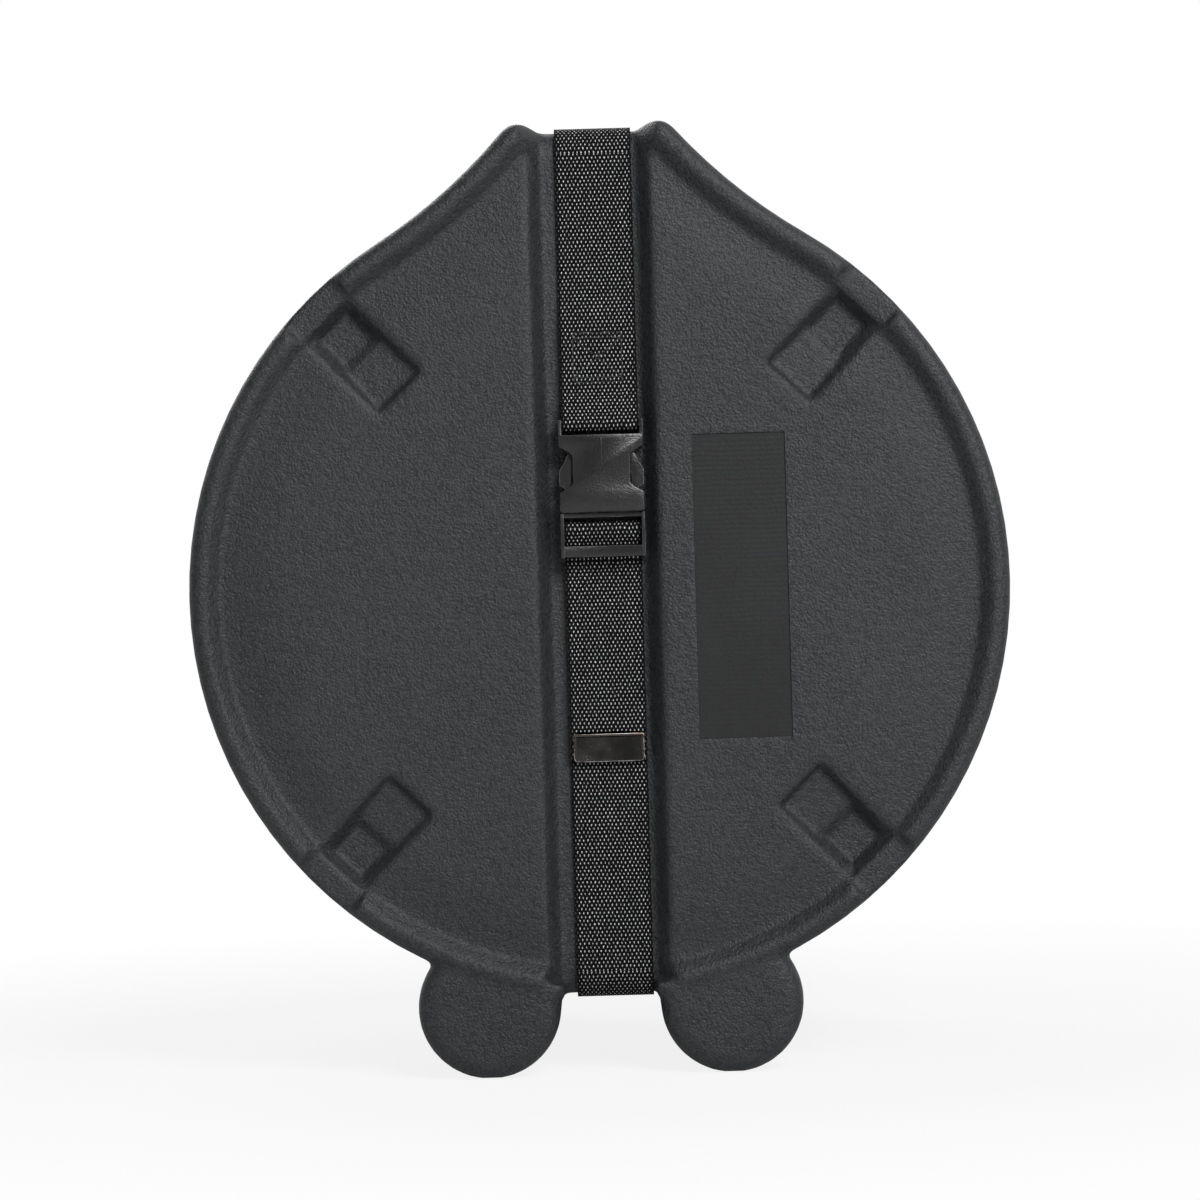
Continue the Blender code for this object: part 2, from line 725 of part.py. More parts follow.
def band(name, path, finish, width=STRAP_WIDTH, thickness=STRAP_THICKNESS):
    """Flat webbing along a path of (y, z) points down its middle."""
    sides = ([], [])
    for i, point in enumerate(path):
        here = Vector(point)
        ways = []
        if i > 0:
            ways.append((here - Vector(path[i - 1])).normalized())
        if i < len(path) - 1:
            ways.append((Vector(path[i + 1]) - here).normalized())
        way = (ways[0] + ways[-1]).normalized()
        stretch = 1 / max(way.dot(ways[0]), 0.5)
        out = Vector((-way.y, way.x)) * (thickness / 2 * stretch)
        sides[0].append(here + out)
        sides[1].append(here - out)
    outline = [tuple(p) for p in sides[0] + sides[1][::-1]]
    half = width / 2
    return extrusion(
        name,
        outline,
        lambda a, b, push: (STRAP_SHIFT + push, a, b),
        -half,
        half,
        finish,
    )


def corner_turn(face, top):
    """The strap's bend round one corner of the case, from the bed to the channel floor."""
    radius = CHANNEL_CORNER + STRAP_LIFT
    y = depth_y(face, FLOOR_DEPTH + CHANNEL_CORNER)
    z = TOP_BED_Z - CHANNEL_CORNER if top else BOTTOM_BED_Z + CHANNEL_CORNER
    start = math.pi / 2 if top else -math.pi / 2
    end = math.pi if face == FRONT else 0
    if face == FRONT and not top:
        end = -math.pi
    return arc((y, z), radius, start, end, 9)


def strap_on_case():
    """The webbing that stays on the case: round the base, and over and under the lid."""
    top = TOP_BED_Z + STRAP_LIFT
    bottom = BOTTOM_BED_Z - STRAP_LIFT
    end = PARTING_Y + PARTING_GAP
    path = [(end, top), *corner_turn(BACK, True)]
    path += [*reversed(corner_turn(BACK, False)), (end, bottom)]
    around = band("strap_round_base", path, black_webbing())
    for i, height in enumerate(rivet_heights()):
        bore = rivet_bore(
            f"strap_rivet_bore_{i + 1}",
            height,
            RIVET_SHANK + 2 * RIVET_CLEARANCE,
            BACK_FLOOR_Y - WALL,
            BACK_CREST_Y,
        )
        boolean(around, "DIFFERENCE", bore)
    over = [(end - SEAT_GAP, top), *corner_turn(FRONT, True)]
    band("strap_over_lid", over, black_webbing())
    under = [(end - SEAT_GAP, bottom), *corner_turn(FRONT, False)]
    band("strap_under_lid", under, black_webbing())


def above_floor(lift, height):
    """A (y, z) point lifted off the front channel's floor."""
    return (FRONT_FLOOR_Y - lift, height)


def wrap(lift, height, bar, start, end, steps=6):
    """Webbing wrapped round a square bar, as (y, z) points."""
    radius = bar / 2 + SEAT_GAP + STRAP_THICKNESS / 2
    centre = above_floor(lift, height)
    return arc(centre, radius, start, end, steps)


def strap_on_front():
    """The three runs on the lid's face: sewn loop, run to the adjuster, and free tail."""
    double = STRAP_LIFT + STRAP_THICKNESS + SEAT_GAP
    top = TOP_BED_Z - CHANNEL_CORNER - SEAT_GAP
    loop = wrap(SOCKET_BAR_LIFT, SOCKET_BAR_HEIGHT, SOCKET_BAR_SIZE, math.pi, 2 * math.pi)
    upper = [
        above_floor(STRAP_LIFT, top),
        above_floor(STRAP_LIFT, STRAP_FOLD_TOP + STRAP_STEP),
        above_floor(double, STRAP_FOLD_TOP + SEAT_GAP),
        above_floor(double, SOCKET_BAR_HEIGHT + SOCKET_BAR_RUN_IN),
        *loop,
        above_floor(STRAP_LIFT, SOCKET_BAR_HEIGHT + SOCKET_BAR_RUN_IN),
        above_floor(STRAP_LIFT, STRAP_FOLD_TOP),
    ]
    band("strap_upper_run", upper, black_webbing())
    turn = wrap(PLUG_BAR_LIFT, PLUG_BAR_HEIGHT, PLUG_BAR_SIZE, 0, math.pi)
    lower = [
        above_floor(STRAP_LIFT, BOTTOM_BED_Z + CHANNEL_CORNER + SEAT_GAP),
        above_floor(STRAP_LIFT, PLUG_BOTTOM),
        *turn,
        above_floor(tail_lift(), PLUG_BOTTOM + LIP_WIDTH),
        above_floor(tail_lift() - STRAP_THICKNESS / 2, PLUG_BOTTOM),
    ]
    band("strap_lower_run", lower, black_webbing())
    tail = [
        above_floor(tail_lift() - STRAP_THICKNESS * 0.8, PLUG_BOTTOM - TAIL_DROP),
        above_floor(double, PLUG_BOTTOM - STRAP_STEP / 2),
        above_floor(double, STRAP_TAIL_END + TIP_LENGTH + STRAP_STEP),
        above_floor(TIP_LIFT, STRAP_TAIL_END + TIP_LENGTH),
        above_floor(TIP_LIFT, STRAP_TAIL_END),
    ]
    return band("strap_tail", tail, black_webbing())


def tail_lift():
    """How far the webbing's middle stands off the floor behind the adjuster's lip."""
    return PLUG_BAR_LIFT + SEAT_GAP / 3


def strap_tip():
    """Folded sheet-metal clip on the end of the tail."""
    inner = STRAP_THICKNESS / 2 + SEAT_GAP
    outer = inner + TIP_SHEET
    low = STRAP_TAIL_END - SEAT_GAP - TIP_SHEET
    high = low + TIP_LENGTH
    corner = outer / 2
    outline = [
        (-outer, high),
        (-outer, low + corner),
        (-corner, low),
        (corner, low),
        (outer, low + corner),
        (outer, high),
        (inner, high),
        (inner, low + TIP_SHEET),
        (-inner, low + TIP_SHEET),
        (-inner, high),
    ]
    y = FRONT_FLOOR_Y - TIP_LIFT
    half = TIP_WIDTH / 2
    return extrusion(
        "strap_tip",
        outline,
        lambda a, b, push: (STRAP_SHIFT + push, y + a, b),
        -half,
        half,
        dark_nickel(),
    )


def flat_piece(name, outline, low_lift, high_lift, finish=None):
    """An outline of (x, z) points, x from the strap's middle, between two lifts."""
    return extrusion(
        name,
        outline,
        lambda a, b, push: (STRAP_SHIFT + a, FRONT_FLOOR_Y - push, b),
        low_lift,
        high_lift,
        finish,
    )


def round_bar(name, half, height, lift, size):
    """A bar across the buckle for webbing to run over."""
    outline = arc(above_floor(lift, height), size / 2, 0, 2 * math.pi, 8)[:-1]
    return extrusion(name, outline, lambda a, b, push: (STRAP_SHIFT + push, a, b), -half, half)


def rectangle(left, right, low, high):
    return [(left, low), (right, low), (right, high), (left, high)]


def both_sides(right):
    """A closed outline from its right half, listed from the bottom up."""
    return right + [(-x, z) for x, z in reversed(right)]


def buckle_female():
    """The socket half: hollow body with side notches, two rails and the strap bar."""
    half = BUCKLE_WIDTH / 2
    low = BUCKLE_MOUTH_HEIGHT + NOTCH_START
    high = BUCKLE_MOUTH_HEIGHT + NOTCH_END
    slope = NOTCH_SLOPE / 2
    right = [
        (half - BUCKLE_EDGE_RADIUS, BUCKLE_MOUTH_HEIGHT),
        (half, BUCKLE_MOUTH_HEIGHT + BUCKLE_EDGE_RADIUS),
        (half, low),
        (half - NOTCH_DEPTH + slope, low + slope),
        (half - NOTCH_DEPTH, low + NOTCH_SLOPE),
        (half - NOTCH_DEPTH, high - NOTCH_SLOPE),
        (half - NOTCH_DEPTH + slope, high - slope),
        (half, high),
        (half, SOCKET_TOP),
    ]
    outline = both_sides(right)
    body = flat_piece("buckle_female", outline, BUCKLE_LIFT, BUCKLE_TOP_LIFT, buckle_plastic())
    bevel(body, BUCKLE_EDGE_RADIUS)
    width = ROOM_HALF_WIDTH
    room = rectangle(-width, width, BUCKLE_MOUTH_HEIGHT - BUCKLE_WALL, high + LATCH_GAP)
    boolean(body, "DIFFERENCE", flat_piece("female_room", room, *ROOM_LIFTS))
    rail_in = STRAP_WIDTH / 2 + LATCH_GAP
    rail_top = SOCKET_BAR_HEIGHT + SOCKET_BAR_SIZE / 2
    lifts = (BUCKLE_LIFT + SOCKET_RAIL_INSET, BUCKLE_TOP_LIFT - SOCKET_RAIL_INSET)
    for side, label in ((-1, "left"), (1, "right")):
        outline = rectangle(side * rail_in, side * half, SOCKET_TOP - BUCKLE_WALL, rail_top)
        boolean(body, "UNION", flat_piece(f"female_rail_{label}", outline, *lifts))
    reach = (rail_in + half) / 2
    bar = round_bar("female_bar", reach, SOCKET_BAR_HEIGHT, SOCKET_BAR_LIFT, SOCKET_BAR_SIZE)
    boolean(body, "UNION", bar)
    return body


def buckle_male():
    """The plug half: adjuster frame with two bars, a bridge, the plug and its tongue."""
    half = BUCKLE_WIDTH / 2 - LATCH_GAP / 2
    rail_in = STRAP_WIDTH / 2 + LATCH_GAP
    rail_top = BUCKLE_MOUTH_HEIGHT - LATCH_GAP
    lifts = (BUCKLE_LIFT + PLUG_INSET, BUCKLE_TOP_LIFT - PLUG_INSET)
    bridge = rectangle(-half, half, rail_top - PLUG_BRIDGE, rail_top)
    frame = flat_piece("buckle_male", bridge, *PLUG_LIFTS, buckle_plastic())
    for side, label in ((-1, "left"), (1, "right")):
        outline = rectangle(side * rail_in, side * half, PLUG_BOTTOM, rail_top - SEAT_GAP)
        boolean(frame, "UNION", flat_piece(f"male_rail_{label}", outline, *lifts))
    width = ROOM_HALF_WIDTH - LATCH_GAP
    outline = rectangle(-width, width, rail_top - PLUG_BRIDGE / 2, PLUG_TOP)
    lifts = (PLUG_LIFTS[0] + SEAT_GAP, PLUG_LIFTS[1] - SEAT_GAP)
    boolean(frame, "UNION", flat_piece("male_plug", outline, *lifts))
    middle = sum(ROOM_LIFTS) / 2
    outline = [
        (TONGUE_WIDTH / 2, PLUG_TOP - PLUG_NECK / 2),
        (TONGUE_WIDTH / 2, PRONG_TIP - TONGUE_WIDTH),
        (TONGUE_WIDTH / 4, PRONG_TIP - TONGUE_WIDTH / 2),
    ]
    lifts = (middle - TONGUE_THICKNESS / 2, middle + TONGUE_THICKNESS / 2)
    boolean(frame, "UNION", flat_piece("male_tongue", both_sides(outline), *lifts))
    reach = (rail_in + half) / 2
    bar = round_bar("male_bar", reach, PLUG_BAR_HEIGHT, PLUG_BAR_LIFT, PLUG_BAR_SIZE)
    boolean(frame, "UNION", bar)
    lip = rectangle(-reach, reach, PLUG_BOTTOM + SEAT_GAP, PLUG_BOTTOM + LIP_WIDTH)
    lip_low = tail_lift() + STRAP_THICKNESS / 2 + LIP_GAP
    lip_high = BUCKLE_TOP_LIFT - PLUG_INSET - SEAT_GAP
    boolean(frame, "UNION", flat_piece("male_lip", lip, lip_low, lip_high))
    return frame


def hinged(name, place, *pieces):
    """An empty on a hinge's axis, with the pieces that turn there as its children."""
    pivot = bpy.data.objects.new(name, None)
    collection(PARTS).objects.link(pivot)
    pivot.location = place
    for piece in pieces:
        piece.parent = pivot
        piece.matrix_parent_inverse.translation = -pivot.location


def buckle_prong(name, side):
    """A side prong whose head stands out in the socket's notch. It bends at its root."""
    root = PLUG_TOP + LATCH_GAP
    outer = ROOM_HALF_WIDTH - LATCH_GAP
    inner = outer - PRONG_WIDTH
    half = BUCKLE_WIDTH / 2
    catch = BUCKLE_MOUTH_HEIGHT + NOTCH_START + PRONG_CATCH
    outline = [
        (inner, root),
        (outer, root),
        (outer, catch - PRONG_CATCH / 3),
        (half - LATCH_GAP, catch),
        (half, catch + PRONG_CATCH / 2),
        (half, catch + PRONG_CATCH * 2.2),
        (outer, PRONG_TIP - PRONG_CATCH * 1.2),
        (inner + PRONG_CATCH / 2, PRONG_TIP),
        (inner - PRONG_CATCH / 2, PRONG_TIP),
        (inner - PRONG_CATCH / 2, PRONG_TIP - PRONG_CATCH),
        (inner, catch + PRONG_CATCH * 1.5),
    ]
    outline = [(side * x, z) for x, z in outline]
    lifts = (PLUG_LIFTS[0] + SEAT_GAP, PLUG_LIFTS[1] - SEAT_GAP)
    prong = flat_piece(name, outline, *lifts, buckle_plastic())
    hinge_x = STRAP_SHIFT + side * (inner + outer) / 2
    place = (hinge_x, FRONT_FLOOR_Y - sum(lifts) / 2, PLUG_TOP)
    hinged(f"{name}_pivot", place, prong)
    return prong


def strap_rivets():
    """Two rivets through the strap and the back's channel floor, each with an inner washer."""
    strap_face = SEAT_GAP + STRAP_THICKNESS + RIVET_CLEARANCE
    washer_low = WALL + RIVET_CLEARANCE
    washer_high = washer_low + WASHER_THICKNESS
    tail = washer_high + RIVET_CLEARANCE
    shank = RIVET_SHANK / 2
    for label, height in zip(("upper", "lower"), rivet_heights()):
        place = (STRAP_SHIFT, BACK_FLOOR_Y, height)
        profile = [
            (0, strap_face + RIVET_HEAD_THICKNESS),
            (RIVET_HEAD / 2 * 0.6, strap_face + RIVET_HEAD_THICKNESS),
            (RIVET_HEAD / 2, strap_face + RIVET_HEAD_THICKNESS * 0.3),
            (RIVET_HEAD / 2, strap_face),
            (shank, strap_face),
            (shank, -tail),
            (RIVET_TAIL / 2, -tail),
            (RIVET_TAIL / 2 * 0.7, -tail - WASHER_THICKNESS),
            (0, -tail - WASHER_THICKNESS),
        ]
        turned(f"strap_rivet_{label}", profile, steel(), place)
        hole = shank + RIVET_CLEARANCE
        washer = [
            (hole, -washer_low),
            (WASHER_DIAMETER / 2, -washer_low),
            (WASHER_DIAMETER / 2, -washer_high),
            (hole, -washer_high),
        ]
        turned(f"rivet_washer_{label}", washer, steel(), place)


def grip_half(name, direction, rise):
    """Half of the two-piece grip, which closes round the strap over the hand hollow."""
    strap_middle = TOP_BED_Z + STRAP_LIFT
    half = GRIP_WIDTH / 2
    parting = SEAT_GAP / 2
    bulge = arc((0, parting), 1, 0, math.pi, 8)
    outline = [(x * half, parting + (z - parting) * rise) for x, z in bulge]
    piece = extrusion(
        name,
        outline,
        lambda a, b, push: (
            STRAP_SHIFT + a,
            HOLLOW_CENTRE_Y + push,
            strap_middle + direction * b,
        ),
        -GRIP_LENGTH / 2,
        GRIP_LENGTH / 2,
        grip_rubber(),
    )
    bevel(piece, GRIP_EDGE, 2, 60)
    slot = STRAP_WIDTH / 2 + SEAT_GAP
    depth = STRAP_THICKNESS / 2 + SEAT_GAP
    room = extrusion(
        f"{name}_slot",
        rectangle(-slot, slot, -depth, depth),
        lambda a, b, push: (STRAP_SHIFT + a, HOLLOW_CENTRE_Y + push, strap_middle + b),
        -GRIP_LENGTH,
        GRIP_LENGTH,
    )
    boolean(piece, "DIFFERENCE", room)
    return piece


def shade_round_pieces():
    """Smooth shading with sharp edges kept."""
    for obj in collection(PARTS).objects:
        if obj.type == "MESH":
            obj.data.shade_smooth()
            obj.data.set_sharp_from_angle(angle=math.radians(30))


def main():
    clear_scene()
    lid_shell()
    base_shell()
    foam()
    strap_on_case()
    tail = strap_on_front()
    tail_hinge = (
        STRAP_SHIFT,
        FRONT_FLOOR_Y - TAIL_HINGE_LIFT,
        PLUG_BOTTOM - TAIL_HINGE_DROP,
    )
    hinged("strap_tail_pivot", tail_hinge, tail, strap_tip())
    buckle_female()
    buckle_male()
    buckle_prong("buckle_prong_left", -1)
    buckle_prong("buckle_prong_right", 1)
    strap_rivets()
    grip_half("grip_upper_half", 1, GRIP_RISE)
    grip_half("grip_lower_half", -1, GRIP_DROP)
    shade_round_pieces()


main()
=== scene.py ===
"""Looks of the tom drum case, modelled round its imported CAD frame."""

import math

import bpy
import bmesh
from bpy.props import FloatProperty, FloatVectorProperty, IntProperty, PointerProperty
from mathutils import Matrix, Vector


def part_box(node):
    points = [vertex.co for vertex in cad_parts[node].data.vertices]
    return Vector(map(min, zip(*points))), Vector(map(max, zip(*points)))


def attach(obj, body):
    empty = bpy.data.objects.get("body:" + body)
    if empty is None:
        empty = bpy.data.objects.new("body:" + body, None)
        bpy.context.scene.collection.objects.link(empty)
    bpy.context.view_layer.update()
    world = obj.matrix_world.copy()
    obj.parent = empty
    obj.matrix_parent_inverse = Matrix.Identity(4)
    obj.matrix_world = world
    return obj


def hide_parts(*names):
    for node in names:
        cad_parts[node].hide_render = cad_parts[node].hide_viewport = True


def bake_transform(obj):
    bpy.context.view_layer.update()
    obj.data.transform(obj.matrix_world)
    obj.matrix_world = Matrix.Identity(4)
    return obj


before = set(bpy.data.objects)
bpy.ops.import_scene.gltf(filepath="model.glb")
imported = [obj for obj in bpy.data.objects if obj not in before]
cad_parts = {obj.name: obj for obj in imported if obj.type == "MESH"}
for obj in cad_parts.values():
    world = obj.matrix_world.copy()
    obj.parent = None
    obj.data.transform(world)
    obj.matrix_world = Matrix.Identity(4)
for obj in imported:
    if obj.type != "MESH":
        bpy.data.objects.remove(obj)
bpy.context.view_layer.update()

bl_info = {
    "name": "Tom drum case",
    "version": (1, 0, 0),
    "blender": (4, 5, 0),
    "location": "3D View > Sidebar > Tom Case",
    "description": "Builds the moulded shells, foam, webbing, buckle and fittings of a tom case",
    "category": "Add Mesh",
}

MM = 0.001
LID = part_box("lid_shell")
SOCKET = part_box("buckle_female")
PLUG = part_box("buckle_male")
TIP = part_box("strap_tip")
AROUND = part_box("strap_round_base")
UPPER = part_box("strap_upper_run")
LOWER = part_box("strap_lower_run")
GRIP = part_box("grip_upper_half")

# The webbing's thickness, and where the middle of its thickness runs
THICK = 1.7 * MM
CORNER = 13.15 * MM
STRAP_X = (UPPER[0].x + UPPER[1].x) / 2
TOP_Z = AROUND[1].z - THICK / 2
BOTTOM_Z = AROUND[0].z + THICK / 2
BACK_Y = AROUND[1].y - THICK / 2
SEAM_Y = AROUND[0].y
FACE_Y = LOWER[1].y - THICK / 2

# The lid's face: the channel's floor, the panel, the bare plate and the pockets
FLOOR_Y = FACE_Y + 1.15 * MM
PANEL_Y = FLOOR_Y - 10 * MM
PLATE_Y = PANEL_Y + 1.0 * MM
PLATE = ((47.4 * MM, 165.3 * MM), (93.6 * MM, 316.3 * MM))
CENTRE_Z = 241.3 * MM
POCKETS = (46, 134, 226, 314)
POCKET_NEAR, POCKET_FAR = 128 * MM, 194 * MM
POCKET_HALF = 26 * MM
POCKET_REACH = 13 * MM
POCKET_LIP = 1.6 * MM

# The outline of both halves, and the bead along it
BODY_RADIUS = 203.6 * MM
SHOULDER_RADIUS = 275 * MM
SHOULDER_START = math.radians(58.5)
SHOULDER = Vector((math.cos(SHOULDER_START), math.sin(SHOULDER_START)))
SHOULDER *= BODY_RADIUS + SHOULDER_RADIUS
PEAK_HEIGHT = 231.3 * MM
BEAD_WIDTH = 15.3 * MM
BEAD_CREST = 6.5 * MM
BEAD_RISE = 4.5 * MM
SIDE_START = 9 * MM
SIDE_DROP = 0.45 * MM
CREASE_FADE = 28 * MM
WALL_FADE = 6 * MM
FACE_REACH = 16 * MM
BASE_FACE = 162 * MM
NECK_END = -38 * MM
CUT_EDGE = 4 * MM
MOST_TRIANGLES = 190000

FOAM_THICK = 10 * MM

# The strap's ends: the doubled webbing, the socket's bar and the adjuster's bar
DOUBLE_Y = FLOOR_Y - 3.15 * MM
DOUBLE_LOW, DOUBLE_HIGH, DOUBLE_END = 337.6 * MM, 371 * MM, 387 * MM
SOCKET_BAR, SOCKET_BEND = (FLOOR_Y - 6.8 * MM, 322.6 * MM), 3.25 * MM
ADJUSTER_BAR, ADJUSTER_BEND = (FLOOR_Y - 6.3 * MM, 270.2 * MM), 3.35 * MM
ADJUSTER_EXIT = (FLOOR_Y - 5.2 * MM, 255 * MM)
TAIL_HIGH, TAIL_LOW = 247 * MM, 184.9 * MM
TAIL_END_Y = FLOOR_Y - 4 * MM


def size(name, description, default, low, high):
    """A length that can be set, given in millimetres."""
    return FloatProperty(
        name=name,
        description=description,
        default=default * MM,
        min=low * MM,
        max=high * MM,
        unit="LENGTH",
    )


def count(name, description, default):
    return IntProperty(name=name, description=description, default=default, min=0, max=30)


class TomCaseSizes(bpy.types.PropertyGroup):
    """Sizes of the pieces that this scene models round the CAD frame."""

    mould_grain: size("Shell detail", "Spacing of the points on the two shells", 1.45, 1.2, 4)
    mould_rounding: count("Shell rounding", "Passes that round the shells' corners", 12)
    bead_crease: size("Bead crease", "Depth of the crease along the bead's foot", 1.8, 0, 2.2)
    webbing_width: size("Webbing width", "Width of the nylon webbing", 38, 20, 50)
    weave_row: size("Weave row", "Distance from one row of the weave to the next", 1.9, 1, 4)
    weave_column: size("Weave column", "Distance between crossings along a row", 2.05, 1, 4)
    stitch_length: size("Stitch length", "Length of one stitch of the sewn box", 2.6, 1, 6)
    foam_edge: size("Foam edge", "Radius of the foam lining's cut edges", 2, 0.2, 4)
    buckle_edge: size("Buckle edge", "Radius of the buckle's moulded edges", 0.35, 0.05, 0.8)
    grip_ribs: count("Grip ribs", "Number of ribs across the carrying grip", 11)


def colour(name, description, default):
    return FloatVectorProperty(
        name=name,
        description=description,
        default=default,
        size=3,
        min=0,
        max=1,
        subtype="COLOR",
    )


class TomCaseColours(bpy.types.PropertyGroup):
    """Colours of the case's finishes, and of the shade, glints and highlights painted over them."""

    shell: colour("Shell", "Black moulded polyethylene", (0.0205, 0.0238, 0.0262))
    # Painted shade: the low pits of the shell's grain are coloured darker than the shell
    shell_pit_shade: colour("Shell pits", "Painted shade in the pits of the shell's grain", (0.009, 0.0105, 0.012))
    # Painted glints: bright points on the shell's grain stand in for the key light's glints
    shell_glint: colour("Shell specks", "Painted glints on the grain", (0.075, 0.082, 0.088))
    plate: colour("Bare plate", "Smooth recessed plate of the lid", (0.0065, 0.0068, 0.0074))
    foam: colour("Foam", "Grey closed-cell foam", (0.075, 0.076, 0.08))
    thread: colour("Webbing", "Nylon thread down in the weave", (0.0022, 0.0022, 0.0024))
    # Painted highlight: the light colour of the weave's crossings stands in for glints of the key
    # light on the thread's crowns
    crossing_highlight: colour("Webbing crossings", "Painted highlight on the thread that stands up", (0.9, 0.91, 0.92))
    buckle: colour("Buckle", "Black acetal of the buckle", (0.0125, 0.0125, 0.0135))
    # Painted highlight: the light colour on the buckle's rounded edges stands in for the key
    # light's reflection in them
    buckle_edge: colour("Buckle edges", "Painted highlight along the buckle's edges", (0.12, 0.122, 0.125))
    nickel: colour("Tip", "Dark nickel of the strap tip", (0.09, 0.087, 0.084))
    brass: colour("Tip wear", "Metal where the nickel has worn off", (0.62, 0.5, 0.36))
    steel: colour("Rivets", "Zinc plated steel", (0.5, 0.5, 0.5))
    rubber: colour("Grip", "Soft black plastic of the grip", (0.02, 0.02, 0.021))


# Modelling helpers


def only(obj):
    """Selects this object alone and makes it the active one."""
    bpy.ops.object.select_all(action="DESELECT")
    obj.select_set(True)
    bpy.context.view_layer.objects.active = obj


def fresh(add, **settings):
    """Runs an operator that adds an object with nothing selected, and gives that object."""
    bpy.ops.object.select_all(action="DESELECT")
    add(**settings)
    return bpy.context.active_object


def edit(obj, test=None, kind="faces"):
    """Enters edit mode with all chosen, or the faces or edges that pass the test."""
    only(obj)
    bpy.ops.object.mode_set(mode="EDIT")
    bpy.ops.mesh.select_mode(type="EDGE" if kind == "edges" else "FACE")
    bpy.ops.mesh.select_all(action="SELECT" if test is None else "DESELECT")
    if test is None:
        return
    mesh = bmesh.from_edit_mesh(obj.data)
    for part in getattr(mesh, kind):
        if kind == "edges":
            chosen = test(*(v.co for v in part.verts))
        else:
            chosen = test(part.calc_center_median(), part.normal)
        if chosen:
            part.select_set(True)
    mesh.select_flush_mode()
    bmesh.update_edit_mesh(obj.data)


def leave_edit():
    bpy.ops.object.mode_set(mode="OBJECT")


def modifier(obj, kind, **settings):
    """Adds a modifier, and applies it."""
    only(obj)
    made = obj.modifiers.new(kind.title(), kind)
    for key, value in settings.items():
        setattr(made, key, value)
    bpy.ops.object.modifier_apply(modifier=made.name)


def settle(obj, name):
    """Applies the object's place, names it and turns its faces outwards."""
    only(obj)
    bpy.ops.object.transform_apply(location=True, rotation=True, scale=True)
    edit(obj)
    bpy.ops.mesh.normals_make_consistent(inside=False)
    leave_edit()
    obj.name = obj.data.name = name
    return obj


def copy_of(node, name):
    """A copy of a CAD node's mesh as a new piece, with its points merged."""
    obj = bpy.data.objects.new(name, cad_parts[node].data.copy())
    bpy.context.scene.collection.objects.link(obj)
    obj.data.name = name
    obj.data.materials.clear()
    edit(obj)
    bpy.ops.mesh.customdata_custom_splitnormals_clear()
    bpy.ops.mesh.remove_doubles(threshold=0.002 * MM)
    bpy.ops.mesh.select_all(action="SELECT")
    bpy.ops.mesh.mark_sharp(clear=True)
    leave_edit()
    return obj


def rounded_edges(obj, width, degrees=30, segments=2, material=-1):
    modifier(
        obj,
        "BEVEL",
        width=width,
        segments=segments,
        limit_method="ANGLE",
        angle_limit=math.radians(degrees),
        miter_outer="MITER_ARC",
        material=material,
    )


def smooth(obj, degrees=None):
    """Shades smooth, with the edges sharper than the angle kept as edges."""
    only(obj)
    if degrees is None:
        bpy.ops.object.shade_smooth()
    else:
        bpy.ops.object.shade_smooth_by_angle(angle=math.radians(degrees))


def block(name, low, high):
    """A cube primitive at its place, as wide as its corners say."""
    low, high = Vector(low), Vector(high)
    cube = bpy.ops.mesh.primitive_cube_add
    return settle(fresh(cube, size=1, location=(low + high) / 2, scale=high - low), name)


def rod(name, radius, length, centre, axis, sides=48):
    """A cylinder primitive lying along X or Y."""
    turn = {"X": (0, math.pi / 2, 0), "Y": (math.pi / 2, 0, 0)}[axis]
    made = fresh(
        bpy.ops.mesh.primitive_cylinder_add,
        vertices=sides,
        radius=radius,
        depth=length,
        location=centre,
        rotation=turn,
    )
    return settle(made, name)


def joined(name, parts):
    """Several finished solids as one mesh."""
    only(parts[0])
    for part in parts:
        part.select_set(True)
    bpy.ops.object.join()
    parts[0].name = parts[0].data.name = name
    return parts[0]


def dress(obj, material, body=None, replaces=()):
    """Gives a finished piece its material and the body it rides on."""
    material = bpy.data.materials[material]
    if not obj.data.materials:
        obj.data.materials.append(material)
    obj.data.materials[0] = material
    if body:
        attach(obj, body)
    if replaces:
        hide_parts(*replaces)
    return obj


# Shader helpers


